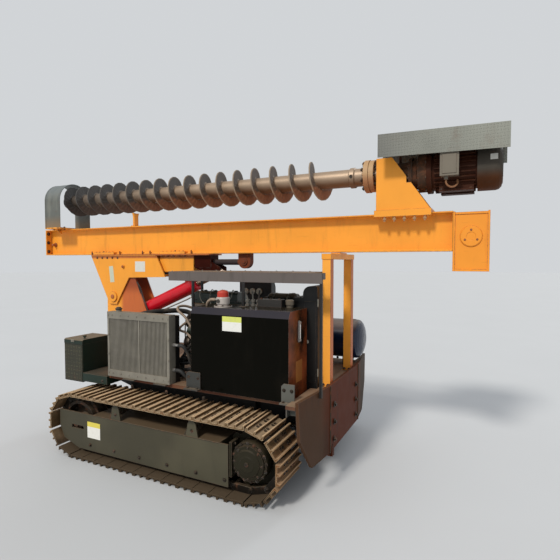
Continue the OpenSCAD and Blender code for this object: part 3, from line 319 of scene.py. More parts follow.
def bare_metal(f, colour, rough=0.45, rust=0.4, dust=0.3, metallic=0.75, grain=None,
               shine=0.3):
    """Steel or cast iron: brushed or rough grain, rust in patches, oil and dust"""
    tone = f.mix(f.clouds(0.12, 5, 0.65), shade(colour, 0.62), shade(colour, 1.35))
    rusty = f.clouds(0.07, 6, 0.7).smooth(0.62 - 0.28 * rust, 0.78 - 0.16 * rust)
    tone = f.mix(rusty * min(1.0, rust * 1.6), tone,
                 f.mix(f.clouds(0.015, 4), RUST, shade(RUST, 2.3)))
    bright = f.edges(0.004) * f.clouds(0.05, 4).smooth(0.40, 0.62)
    tone = f.mix(bright * 0.6, tone, BARE)
    film = f.film(0.7, f.clouds(0.22, 5, 0.6) * 0.6, 0.34, dust * 1.5)
    tone = f.mix(film, tone, f.earth)
    brushed = f.clouds(0.004, 2, stretch=grain) if grain else f.clouds(0.005, 3)
    f.bump(brushed * 0.35 + f.clouds(0.03, 4) * 0.4 + rusty * 0.25, 0.0014, 0.7)
    gloss = rough + rusty * 0.25 + film * 0.4 + f.clouds(0.08, 3) * 0.14 - 0.06
    return f.surface(tone, gloss, metallic * (1 - film) * (1 - rusty * 0.7), shine=shine)


def rubber(f, colour=(0.012, 0.012, 0.012), dust=0.25):
    """Hose rubber with fine ribs and a dusty bloom"""
    tone = f.mix(f.clouds(0.05, 4), shade(colour, 0.7), shade(colour, 1.9))
    tone = f.mix(f.clouds(0.12, 5).smooth(0.45, 0.75) * dust, tone, f.earth)
    f.bump(f.clouds(0.003, 2), 0.0006, 0.5)
    return f.surface(tone, 0.55 + f.clouds(0.04) * 0.2)


def label(f, colour, top=None, split=0.0):
    """A blank sticker, sun-bleached and scuffed, with another colour above a height in metres"""
    tone = f.mix(f.z > split, colour, top) if top else f.mix(0.0, colour, colour)
    tone = f.mix(f.clouds(0.03, 5, 0.7).smooth(0.5, 0.8) * 0.35, tone, (0.35, 0.30, 0.22))
    f.bump(f.clouds(0.01, 3), 0.0003, 0.4)
    return f.surface(tone, 0.38 + f.clouds(0.02) * 0.25)


def checker_relief(pitch, along, across):
    """Height of raised tears that lie alternately along and across, as on tread plate"""
    u = along / pitch
    v = across / pitch
    odd = (u.maths("FLOOR") + v.maths("FLOOR")) % 2
    du = u.maths("FRACT") - 0.5
    dv = v.maths("FRACT") - 0.5
    long = du + (dv - du) * odd
    short = dv + (du - dv) * odd
    reach = (long / 0.44) ** 2 + (short / 0.13) ** 2
    return reach.smooth(1.1, 0.5)


def tread_plate(f, colour, pitch, along="x", across="y", dust=0.35, metallic=0.6, worn=2.2,
                patch=()):
    """Chequer plate with bright worn tears over a dirty ground"""
    axes = {"x": f.x, "y": f.y, "z": f.z, "yz": f.y + f.z}
    tears = checker_relief(pitch, axes[along], axes[across])
    tone = f.mix(f.clouds(0.25, 5), shade(colour, 0.65), shade(colour, 1.35))
    tone = f.mix(f.clouds(0.10, 5, 0.6).smooth(0.5, 0.8) * 0.5, tone, shade(RUST, 0.8))
    tone = f.mix(tears * f.clouds(0.12, 3).smooth(0.3, 0.6) * 0.7, tone, shade(colour, worn))
    film = f.film(0.6, f.clouds(0.2, 5) * 0.7, 0.4, dust * 1.4)
    tone = f.patched(f.mix(film * (1 - tears * 0.6), tone, f.earth), patch)
    f.bump(tears + f.clouds(0.01, 3) * 0.15, 0.0022, 0.9)
    return f.surface(tone, 0.42 + film * 0.3 + f.clouds(0.05) * 0.15, metallic * (1 - film))


def spiral_steel(f):
    """Auger steel: rubbed tube, dark flights, rust on their lower halves, earthy coupling"""
    axis, reach = AUGER_AXIS * MM, FLIGHT_Y[1] * MM
    away = (f.y ** 2 + (f.z - axis) ** 2).maths("SQRT") / reach
    depth = (axis - f.z) / reach
    low = depth.smooth(0.0, 0.75)
    earthy = f.x.smooth(-1.7, -0.3)
    tube = away < 0.50
    tone = f.mix(f.clouds(0.10, 5, 0.65), (0.036, 0.0312, 0.0276), (0.084, 0.0728, 0.0644))
    tone = f.mix(f.x.smooth(-1.2, 0.6) * 0.7, tone, f.mix(
        f.clouds(0.06, 5), (0.055, 0.036, 0.024), (0.165, 0.105, 0.066)))
    rusty = (f.clouds(0.06, 6, 0.7) * 0.6 + low * 0.5).smooth(0.42, 0.70) * (0.15 + earthy * 0.85)
    tone = f.mix(rusty * 0.85, tone, f.mix(
        f.clouds(0.03, 4), (0.17, 0.060, 0.022), (0.36, 0.125, 0.045)))
    streaks = f.clouds(0.08, 5, 0.6, stretch=(0.35, 1.0, 1.0))
    barrel = f.mix(earthy, f.mix(streaks, (0.11, 0.082, 0.062), (0.27, 0.215, 0.170)),
                   f.mix(streaks, (0.22, 0.155, 0.105), (0.47, 0.345, 0.240)))
    under = depth.smooth(-0.08, 0.36)
    barrel = f.mix(under * earthy * 0.85, barrel, (0.15, 0.062, 0.024))
    tone = f.mix(tube, tone, barrel)
    collar = f.x > (FLIGHT_X[1] + 330) * MM
    tone = f.mix(collar * (away > 0.50), tone, f.mix(
        f.clouds(0.04, 4) * 0.5 + under * 0.5, (0.46, 0.31, 0.155), (0.32, 0.105, 0.034)))
    rim = (away + f.clouds(0.04, 4) * 0.06).smooth(0.955, 1.0)
    tone = f.mix(rim * 0.6, tone, f.mix(earthy, (0.050, 0.047, 0.044), (0.32, 0.24, 0.16)))
    # Painted shade: the front flights inside the guide darken almost to black
    tone = f.mix(f.x.smooth(-1.75, -2.05) * 0.75, tone, (0.018, 0.016, 0.015))
    f.bump(rusty * 0.4 + f.clouds(0.008, 4) * 0.5, 0.0018, 0.8)
    return f.surface(tone, 0.55 + rusty * 0.25 - tube * 0.16 + f.clouds(0.05) * 0.1,
                     tube * 0.35 * (1 - rusty * 0.8))


# Shapes

def aim(at, axis):
    """The placement that turns Z along an axis at a point"""
    return Matrix.Translation(at) @ Vector(axis).to_track_quat("Z", "Y").to_matrix().to_4x4()


class Shape:
    """A mesh put together from bmesh operators, in millimetres of the part's frame"""

    def __init__(self):
        self.bm = bmesh.new()
        self.slot = 0

    def keep(self, verts):
        """Gives new faces the current finish"""
        for face in {face for vert in verts for face in vert.link_faces}:
            face.material_index = self.slot

    def rounded(self, verts, edge, segments=2):
        """Bevels every edge at some corners"""
        if edge:
            edges = list({e for vert in verts for e in vert.link_edges})
            bmesh.ops.bevel(self.bm, geom=edges, offset=edge, offset_type="OFFSET",
                            segments=segments, affect="EDGES", profile=0.5, material=-1)

    def block(self, x, y, z, edge=1.0, turn=None):
        """A box between two corners with rounded edges, turned about its middle"""
        middle = Vector((sum(x) / 2, sum(y) / 2, sum(z) / 2))
        size = Vector((x[1] - x[0], y[1] - y[0], z[1] - z[0]))
        made = bmesh.ops.create_cube(self.bm, size=1, matrix=Matrix.LocRotScale(middle, turn, size))
        self.keep(made["verts"])
        self.rounded(made["verts"], edge, 1)

    def bar(self, start, end, r, r_end=None, segments=16, edge=0.0):
        """A round bar or cone between two points"""
        start, end = Vector(start), Vector(end)
        made = bmesh.ops.create_cone(
            self.bm, cap_ends=True, segments=segments, radius1=r,
            radius2=r if r_end is None else r_end, depth=(end - start).length,
            matrix=aim((start + end) / 2, end - start))
        self.keep(made["verts"])
        self.rounded(made["verts"], edge)

    def bolt(self, at, axis, width=20):
        """A hex head on a washer, standing out of a surface along an axis"""
        at, axis = Vector(at), Vector(axis).normalized()
        self.bar(at - axis, at + axis * width * 0.12, width * 0.92, segments=12)
        self.bar(at, at + axis * width * 0.62, width * 0.58, width * 0.52, segments=6)

    def bolts(self, places, axis, width=20):
        """Like bolts at several places"""
        for at in places:
            self.bolt(at, axis, width)

    def ring(self, middle, axis, radius, count, width, first=0.0):
        """Bolts on a circle about an axis"""
        place = aim(middle, axis)
        turns = [first + tau * i / count for i in range(count)]
        self.bolts([place @ Vector((radius * cos(a), radius * sin(a), 0)) for a in turns],
                   axis, width)

    def turned(self, at, axis, rows, segments=28):
        """A turned piece from rows of (distance along its axis, radius), with closed ends"""
        verts = [self.bm.verts.new((max(r, 0.01), 0, d)) for d, r in rows]
        edges = [self.bm.edges.new(pair) for pair in zip(verts, verts[1:])]
        bmesh.ops.spin(self.bm, geom=verts + edges, cent=(0, 0, 0), axis=(0, 0, 1), dvec=(0, 0, 0),
                       angle=tau, steps=segments, use_merge=True)
        reached = set(verts)
        queue = list(verts)
        while queue:
            for edge in queue.pop().link_edges:
                for vert in edge.verts:
                    if vert not in reached:
                        reached.add(vert)
                        queue.append(vert)
        reached = list(reached)
        ends = [e for e in {e for v in reached for e in v.link_edges} if e.is_boundary]
        if ends:
            bmesh.ops.holes_fill(self.bm, edges=ends, sides=0)
        bmesh.ops.transform(self.bm, matrix=aim(at, axis), verts=reached)
        self.keep(reached)

    def plate(self, outline, axis, low, high, edge=1.0):
        """An outline in the plane across an axis, thickened between two places on it"""
        order = {"X": (2, 0, 1), "Y": (0, 2, 1), "Z": (0, 1, 2)}[axis]
        verts = []
        for a, b in outline:
            place = [a, b, low]
            verts.append(self.bm.verts.new([place[order[i]] for i in range(3)]))
        face = self.bm.faces.new(verts)
        made = bmesh.ops.extrude_face_region(self.bm, geom=[face])
        lifted = [v for v in made["geom"] if isinstance(v, bmesh.types.BMVert)]
        way = Vector([(0, 0, high - low)[order[i]] for i in range(3)])
        bmesh.ops.translate(self.bm, vec=way, verts=lifted)
        self.keep(verts + lifted)
        self.rounded(verts + lifted, edge, 1)

    def placed(self, matrix, other):
        """A copy of another shape's mesh under a placement"""
        mesh = bpy.data.meshes.new("copy")
        other.bm.to_mesh(mesh)
        mesh.transform(matrix)
        self.bm.from_mesh(mesh)
        bpy.data.meshes.remove(mesh)

    def done(self, name, body, finishes, sharp=35, replaces=()):
        """The finished piece, riding on a body of the rig"""
        bmesh.ops.recalc_face_normals(self.bm, faces=self.bm.faces)
        for face in self.bm.faces:
            face.smooth = True
        bmesh.ops.scale(self.bm, vec=(MM, MM, MM), verts=self.bm.verts)
        mesh = bpy.data.meshes.new(name)
        self.bm.to_mesh(mesh)
        self.bm.free()
        mesh.set_sharp_from_angle(angle=radians(sharp))
        for each in finishes:
            mesh.materials.append(finish(each))
        piece = bpy.data.objects.new(name, mesh)
        bpy.context.scene.collection.objects.link(piece)
        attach(piece, body)
        if replaces:
            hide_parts(*replaces)
        return piece


def lines(name, body, finish_name, radius, routes, bends=True):
    """Round lines through points in millimetres, with their radius in metres"""
    curve = bpy.data.curves.new(name, "CURVE")
    curve.dimensions = "3D"
    curve.bevel_depth = radius
    curve.bevel_resolution = 2
    curve.resolution_u = 8
    curve.use_fill_caps = True
    for route in routes:
        spline = curve.splines.new("BEZIER")
        spline.bezier_points.add(len(route) - 1)
        for knot, place in zip(spline.bezier_points, route):
            knot.co = Vector(place) * MM
            knot.handle_left_type = knot.handle_right_type = "AUTO" if bends else "VECTOR"
    curve.materials.append(finish(finish_name))
    piece = bpy.data.objects.new(name, curve)
    bpy.context.scene.collection.objects.link(piece)
    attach(piece, body)
    return piece


def welds(name, body, finish_name, routes, radius=0.004):
    """Weld beads along straight runs, with their radius in metres"""
    lines(name, body, finish_name, radius, routes, bends=False)


def sheet(name, body, finish_name, x, y, z, turn=None):
    """A thin plate or blank sticker between two corners"""
    shape = Shape()
    shape.block(x, y, z, 0, turn)
    shape.done(name, body, [finish_name])


# Finishes

def recipes():
    """How each finish is made, by name"""
    c = bpy.context.scene.rig_colours
    orange, red, olive, green, brown, blue = (
        tuple(each) for each in (c.orange, c.red, c.olive, c.green, c.brown, c.blue))
    # After the colour, painted takes gloss, dust, wear and grime, bare_metal takes roughness,
    # rust, dust and metal, and tread_plate takes pitch, both axes, dust and metal
    return {
        "rig_orange": lambda f: painted(f, orange, 0.40, 0.10, 0.45, 0.25),
        "frame_orange": lambda f: painted(
            f, shade(orange, 0.97), 0.40, 0.10, 0.45, 0.25, patch=[
                # Painted shade: a dark red, mottled strip along the top of the slide frame's
                # plates, under the beam
                (f.z.smooth(1.780, 1.800) * 0.9, f.mix(
                    f.clouds(0.03, 4), (0.20, 0.035, 0.015), (0.52, 0.14, 0.03)))]),
        # The mast head's darker, redder copy of the orange paint is painted shade
        "head_shaded_orange": lambda f: painted(f, (0.79, 0.280, 0.025), 0.40, 0.10, 0.45, 0.25),
        "pin_orange": lambda f: painted(f, (0.40, 0.12, 0.035), 0.5, 0.1, 0.9, 0.6),
        "shaded_orange": lambda f: painted(f, shade(orange, 0.55), 0.4, 0.3, 0.8, 0.6),
        "frame_olive": lambda f: painted(
            f, olive, 0.50, 0.20, 0.4, 0.35, tint=shade(olive, 1.6), patch=[
                (f.facing_up() * (f.z > 0.39), (0.060, 0.038, 0.019))]),
        "hub_paint": lambda f: painted(f, shade(olive, 0.42), 0.45, 0.10, 0.9, 0.4, shine=0.08),
        "wheel_steel": lambda f: bare_metal(f, (0.035, 0.026, 0.018), 0.55, 0.45, 0.35, 0.4),
        "chassis_black": lambda f: painted(f, (0.014, 0.013, 0.012), 0.45, 0.4, 0.4, 0.3),
        "deck_brown": lambda f: painted(f, brown, 0.6, 0.45, 0.6, 0.5, tint=(0.13, 0.075, 0.04)),
        "panel_brown": lambda f: painted(
            f, brown, 0.5, 0.06, 0.5, 0.8, tint=(0.030, 0.017, 0.009), shine=0.08,
            patch=panel_tones(f)),
        # The tank's black, with painted reflections on its shoulder and its rear face
        "tank_black": lambda f: painted(
            f, (0.0030, 0.0028, 0.0018), 0.15, 0.06, 0.15, 0.10, shine=0.04, patch=tank_sheen(f)),
        "bracket_grey": lambda f: painted(
            f, (0.16, 0.165, 0.145), 0.5, 0.3, 0.5, 0.3, patch=[
                (f.x < 1.2, (0.085, 0.088, 0.078)), (f.x < 0.5, (0.035, 0.036, 0.033))]),
        "radiator_grey": lambda f: bare_metal(
            f, (0.205, 0.19, 0.157), 0.55, 0.05, 0.25, 0.2, grain=(1.0, 1.0, 0.05)),
        "satin_black": lambda f: painted(f, (0.012, 0.012, 0.012), 0.4, 0.4, 0.25, 0.3),
        "box_green": lambda f: painted(f, green, 0.36, 0.45, 0.4, 0.4),
        "engine_green": engine_paint,
        "roof_grey": lambda f: painted(f, (0.112, 0.094, 0.086), 0.5, 0.3, 0.3, 0.5),
        "tank_blue": lambda f: painted(f, blue, 0.25, 0.35, 0.3, 0.3, coat=0.3),
        "slide_iron": lambda f: bare_metal(
            f, (0.032, 0.0045, 0.002), 0.42, 0.2, 0.0, 0.1, shine=0.05),
        "rod_steel": lambda f: bare_metal(f, (0.36, 0.26, 0.19), 0.25, 0.25, 0.1, 0.9),
        "rusty_iron": lambda f: bare_metal(f, (0.085, 0.030, 0.014), 0.55, 0.9, 0.1, 0.3),
        "lug_iron": lambda f: painted(
            f, (0.165, 0.042, 0.018), 0.5, 0.1, 0.9, 0.6, shine=0.1, patch=[
                (f.x < 0.2, (0.040, 0.030, 0.031))]),
        "gear_iron": lambda f: bare_metal(f, (0.060, 0.030, 0.016), 0.5, 0.6, 0.12, 0.35),
        "motor_iron": motor_iron,
        "box_grey": lambda f: painted(f, (0.15, 0.13, 0.10), 0.5, 0.15, 0.5, 0.4),
        "canopy_tread": lambda f: tread_plate(
            f, (0.185, 0.19, 0.165), 0.021, "x", "yz", 0.15, 0.2, worn=1.5, patch=[
                (f.x.smooth(1.95, 1.50) * 0.8, (0.125, 0.125, 0.115)),
                (f.x.smooth(1.95, 2.30) * 0.5, (0.25, 0.26, 0.225))]),
        "box_tread": lambda f: tread_plate(
            f, (0.021, 0.0203, 0.0085), 0.036, "x", "z", 0.05, 0.05, worn=3.2),
        "step_tread": lambda f: tread_plate(f, (0.030, 0.032, 0.025), 0.030, "x", "yz", 0.25, 0.3),
        "guide_steel": guide_steel,
        "worn_auger": spiral_steel,
        # The dark top of the lift cylinder, above 1.5 m, is painted shadow of the roof
        "red_enamel": lambda f: painted(
            f, red, 0.15, 0.06, 0.2, 0.15, coat=0.4, shine=0.2, patch=[
                (f.z.smooth(1.50, 1.58), (0.075, 0.010, 0.008))]),
        "valve_silver": lambda f: bare_metal(f, (0.45, 0.44, 0.42), 0.3, 0.08, 0.15, 0.9),
        "zinc": lambda f: bare_metal(f, (0.30, 0.28, 0.23), 0.38, 0.25, 0.2, 0.85),
        "pale_bolt": lambda f: bare_metal(f, (0.42, 0.24, 0.11), 0.5, 0.2, 0.2, 0.2),
        "dark_bolt": lambda f: bare_metal(f, (0.035, 0.028, 0.022), 0.5, 0.5, 0.3, 0.7),
        "worn_shoes": worn_shoes,
        "grouser_tips": lambda f: worn_shoes(f, 4.2),
        "chain_steel": lambda f: bare_metal(f, (0.022, 0.018, 0.014), 0.42, 0.3, 0.3, 0.7),
        "hose_rubber": rubber,
        "old_hose": lambda f: rubber(f, (0.20, 0.15, 0.11), 0.4),
        "rusty_cable": lambda f: rubber(f, (0.16, 0.070, 0.028), 0.3),
        "weld_orange": lambda f: painted(f, shade(orange, 0.7), 0.4, 0.2, 0.7, 0.5),
        "weld_dark": lambda f: bare_metal(f, (0.06, 0.05, 0.035), 0.5, 0.5, 0.3, 0.5),
        "studio_floor": studio_floor,
        "white_label": lambda f: label(f, (0.62, 0.61, 0.56)),
        "tank_label": lambda f: label(f, (0.72, 0.72, 0.68), (0.58, 0.62, 0.13), 1.293),
        "frame_label": lambda f: label(f, (0.72, 0.71, 0.67), (0.66, 0.55, 0.08), 0.300),
        "pale_label": lambda f: label(f, (0.50, 0.53, 0.42)),
        # Lighter copy of the orange paint as painted sunlight on the posts, dark red painted shade
        # on their +X faces
        "sunlit_orange": lambda f: painted(
            f, (0.98, 0.38, 0.050), 0.40, 0.10, 0.45, 0.2, patch=[
                ((f.x > 1.229) * 0.85, (0.42, 0.085, 0.025))]),
        # The tower's orange, with painted shade behind the slide frame's plates
        "tower_orange": lambda f: painted(f, orange, 0.40, 0.10, 0.45, 0.3, patch=tower_shade(f)),
        "fitting_paint": lambda f: painted(
            f, (0.42, 0.38, 0.35), 0.35, 0.2, 0.3, 0.45, patch=fitting_tones(f)),
        "gauge_glass": lambda f: label(f, (0.75, 0.74, 0.70)),
        "black_knob": lambda f: rubber(f, (0.01, 0.01, 0.01), 0.1),
        "blue_valve": lambda f: painted(f, (0.10, 0.38, 0.52), 0.3, 0.2, 0.4, 0.3),
    }


def finish(name):
    """A finish by its name, made when it is first used"""
    return bpy.data.materials.get(name) or recipes()[name](Finish(name))


def tank_sheen(f):
    """Painted reflections: bluish on the bevelled shoulder, warm rusty red on the rear face"""
    shoulder = (f.z > (TANK_Z[1] - 50) * MM) * (f.y < (TANK_Y[0] + 60) * MM)
    rear = f.x > (TANK_X[1] - 1) * MM
    return [(shoulder * 0.9, (0.034, 0.032, 0.040)),
            (rear * f.clouds(0.22, 4).smooth(0.25, 0.75), (0.230, 0.055, 0.018)),
            (rear * f.within(z=(850, 1010), y=(-640, -520)), (0.24, 0.09, 0.025))]


def panel_tones(f):
    """A redder middle, a lighter earth-coloured near wing and a darker greenish far wing"""
    middle = f.y.smooth(-0.46, -0.36) * f.y.smooth(0.42, 0.32)
    return [(middle * 0.85, (0.088, 0.016, 0.003)),
            (f.y.smooth(-0.46, -0.56) * 0.5, (0.085, 0.050, 0.028)),
            (f.y.smooth(0.40, 0.62) * 0.7, (0.022, 0.024, 0.014))]


def tower_shade(f):
    """Painted shade: a darker red tone behind the slide frame's plates, darkest up high"""
    shaded_tone = f.mix(f.z.smooth(1.38, 1.52), (0.50, 0.115, 0.030), (0.25, 0.042, 0.014))
    return [(f.x.smooth(-1.25, -1.19) * 0.95, shaded_tone)]


def fitting_tones(f):
    """Red cap and white bowl of the filter, silver valves, dark hatch and dusty breather"""
    return [(f.z > (TANK_Z[1] + 80) * MM, (0.42, 0.035, 0.020)),
            (f.within(x=(540, 720)), (0.13, 0.125, 0.11)),
            (f.within(x=(670, 890), y=(-505, -420)), (0.030, 0.028, 0.026)),
            (f.within(x=(900, 1000)), (0.12, 0.10, 0.075)),
            (f.within(x=(1060, 1100)), (0.30, 0.29, 0.27))]


def engine_paint(f):
    """Green cast iron, with bare steel on pulleys, manifolds and filter"""
    green = tuple(bpy.context.scene.rig_colours.green)
    low = span("engine")[0][0]
    steel = f.within(x=(low, low + 82)).most(f.within(y=(-400, -343), z=(1320, 1400))).most(
        f.within(y=(-140, -90), z=(1320, 1400)))
    tone = f.mix(f.clouds(0.08, 5, 0.65), shade(green, 0.7), shade(green, 1.7))
    tone = f.mix(steel, tone, f.mix(f.clouds(0.04, 5), (0.03, 0.025, 0.02), (0.12, 0.09, 0.07)))
    oil = f.clouds(0.16, 5, 0.6).smooth(0.48, 0.72)
    tone = f.mix(oil * 0.5, tone, GRIME)
    chips = (f.edges(0.005) * 0.3 + f.clouds(0.03, 6, 0.7)).smooth(0.70, 0.78)
    tone = f.mix(chips * 0.7, tone, shade(BARE, 0.4))
    film = f.film(0.6, f.clouds(0.2, 5) * 0.6, 0.4, 0.5)
    tone = f.mix(film, tone, f.earth)
    f.bump(f.clouds(0.004, 3) * 0.6 + f.clouds(0.03, 3) * 0.4, 0.0015, 0.8)
    return f.surface(tone, 0.42 - oil * 0.12 + film * 0.4, steel * 0.6)


def studio_floor(f):
    """Pale matt studio floor"""
    tone = f.mix(f.clouds(1.5, 3), (0.490, 0.505, 0.522), (0.520, 0.535, 0.552))
    return f.surface(tone, 0.75 + f.clouds(0.6) * 0.1)


def motor_iron(f):
    """Rusty brown motor with a lighter, earth-stained fan cover whose grey top is painted shade"""
    cover = f.x > (MOTOR_X[1] - 166) * MM
    tone = f.mix(f.clouds(0.10, 5, 0.65), (0.030, 0.0085, 0.004), (0.065, 0.020, 0.009))
    # Painted shade: the cover's upper half turns bluish grey, as in the shade under the canopy
    high = f.z.smooth((MOTOR_AXIS - 100) * MM, (MOTOR_AXIS - 20) * MM)
    skin = f.mix(high, f.mix(f.clouds(0.12, 5), (0.046, 0.016, 0.006), (0.105, 0.037, 0.013)),
                 f.mix(f.clouds(0.12, 5), (0.038, 0.032, 0.026), (0.085, 0.074, 0.060)))
    tone = f.mix(cover, tone, skin)
    grey = f.clouds(0.07, 6, 0.7).smooth(0.58, 0.75) * 0.5
    tone = f.mix(grey, tone, (0.055, 0.040, 0.030))
    worn = f.edges(0.004) * f.clouds(0.05, 4).smooth(0.40, 0.62)
    tone = f.mix(worn * 0.5, tone, (0.16, 0.10, 0.065))
    f.bump(f.clouds(0.004, 3) * 0.4 + f.clouds(0.03, 4) * 0.4, 0.0013, 0.7)
    return f.surface(tone, 0.48 + grey * 0.3 + f.clouds(0.06) * 0.15, 0.0, shine=0.1)


def guide_steel(f):
    """Grey sheet guide with rubbed bands, on an orange foot"""
    orange = tuple(bpy.context.scene.rig_colours.orange)
    foot = f.z < GUIDE_FOOT * MM
    tone = f.mix(f.clouds(0.18, 5, 0.6), (0.075, 0.080, 0.070), (0.17, 0.18, 0.165))
    rubbed = f.clouds(0.10, 4, stretch=(1.0, 0.25, 0.25)).smooth(0.52, 0.66)
    tone = f.mix(rubbed * 0.4, tone, (0.24, 0.24, 0.20))
    rusty = f.clouds(0.05, 6, 0.7).smooth(0.58, 0.74)
    tone = f.mix(rusty * 0.7, tone, shade(RUST, 1.2))
    tone = f.mix(f.z.smooth((GUIDE_Z[1] - 230) * MM, (GUIDE_Z[1] - 60) * MM) * 0.6, tone,
                 (0.150, 0.178, 0.190))
    # Painted reflection: a warm orange tone low on the guide, just above the beam
    tone = f.mix(f.z.smooth((GUIDE_Z[0] + 230) * MM, (GUIDE_Z[0] + 80) * MM) * 0.7, tone,
                 (0.27, 0.165, 0.078))
    tone = f.mix(foot, tone, f.mix(f.clouds(0.05, 5).smooth(0.4, 0.7), orange, shade(orange, 0.3)))
    f.bump(rusty * 0.4 + f.clouds(0.006, 3) * 0.3 + f.clouds(0.06) * 0.4, 0.0015, 0.7)
    return f.surface(tone, 0.45 + rusty * 0.25 + f.clouds(0.07) * 0.15,
                     0.3 * (1 - rusty) * (1 - foot))


def worn_shoes(f, light=1.0):
    """Track shoes: dry pale earth on worn grousers, rust and dark earth between them"""
    tone = f.mix(f.clouds(0.05, 5, 0.65), shade((0.062, 0.034, 0.014), light),
                 shade((0.180, 0.110, 0.052), light))
    rusty = f.clouds(0.035, 6, 0.7).smooth(0.50, 0.70)
    tone = f.mix(rusty * 0.8, tone, f.mix(f.clouds(0.02), RUST, shade(RUST, 2.4)))
    worn = f.edges(0.010) * f.clouds(0.06, 4).smooth(0.25, 0.5)
    tone = f.mix(worn * 0.9, tone, (0.56, 0.43, 0.28))
    dry = (f.facing_up() * 0.35 + f.clouds(0.14, 6, 0.62)).smooth(0.45, 0.80)
    tone = f.mix(dry * 0.8 * (0.3 + f.facing_up() * 0.6), tone,
                 shade(f.earth, 1.0 + 0.3 * light))
    tone = f.mix(f.x.smooth(0.98, 1.08) * 0.4, tone, (0.19, 0.075, 0.024))
    tone = f.mix(f.z.smooth(0.22, 0.06) * 0.85, tone, (0.034, 0.024, 0.015))
    f.bump(dry * 0.5 + f.clouds(0.012, 5) * 0.6, 0.003, 0.9)
    return f.surface(tone, 0.60 + dry * 0.25 - worn * 0.25,
                     0.15 * (1 - dry) * (1 - rusty * 0.5), shine=0.15)


# Solids that keep their CAD shape, by their finish
NODE_FINISHES = {
    "rig_orange": "mast_beam carriage frame_clamps auger_rest mast_rest_beam",
    "frame_orange": "slide_frame",
    "head_shaded_orange": "mast_head",
    "tower_orange": "front_tower",
    "sunlit_orange": "mast_rest_posts",
    "frame_olive": "track_frame_near track_frame_far",
    "hub_paint": "drive_hubs",
    "wheel_steel": "idlers track_rollers",
    "chassis_black": "carbody",
    "deck_brown": "deck",
    "panel_brown": "rear_panel",
    "tank_black": "oil_tank",
    "fitting_paint": "tank_fittings",
    "bracket_grey": "tank_brackets",
    "radiator_grey": "radiator",
    "satin_black": "cooler_fan air_filter control_cabinet valve_bank",
    "box_green": "toolbox toolbox_lid",
    "engine_green": "engine",
    "tank_blue": "fuel_tank",
    "slide_iron": "slide_barrel",
    "lug_iron": "slide_rod",
    "red_enamel": "lift_barrel",
    "rod_steel": "lift_rod",
    "guide_steel": "auger_guide",
    "worn_auger": "auger_stem auger_flight",
    "gear_iron": "gearbox",
    "motor_iron": "motor",
    "box_grey": "terminal_box",
    "canopy_tread": "head_canopy",
}


class OBJECT_OT_finishes(bpy.types.Operator):
    """Give every solid that stays in view its real finish"""
    bl_idname = "rig.finishes"
    bl_label = "Finishes"

    def execute(self, context):
        for name, nodes in NODE_FINISHES.items():
            for node in nodes.split():
                for place in frame["nodes"][node].material_slots:
                    place.material = finish(name)
        return {"FINISHED"}


# Tracks

# The idler's and the drive's axles, and the radius at which the links' pins go round them
AXLE_X = (-985, 806)
AXLE_Z = 295
PITCH_R = 233
# A shoe's inner and outer face and its grousers, out from the pins, and the chains' places
PLATE_IN = 26
PLATE_OUT = 40
GROUSER_H = 22
LINK_Y = 62


def on_loop(s):
    """The point on the track's pitch line at a distance along it"""
    run = AXLE_X[1] - AXLE_X[0]
    turn = pi * PITCH_R
    s %= 2 * (run + turn)
    if s < run:
        return Vector((AXLE_X[0] + s, 0, AXLE_Z - PITCH_R))
    if s < run + turn:
        a = (s - run) / PITCH_R
        return Vector((AXLE_X[1] + PITCH_R * sin(a), 0, AXLE_Z - PITCH_R * cos(a)))
    if s < 2 * run + turn:
        return Vector((AXLE_X[1] - (s - run - turn), 0, AXLE_Z + PITCH_R))
    a = (s - 2 * run - turn) / PITCH_R
    return Vector((AXLE_X[0] - PITCH_R * sin(a), 0, AXLE_Z + PITCH_R * cos(a)))


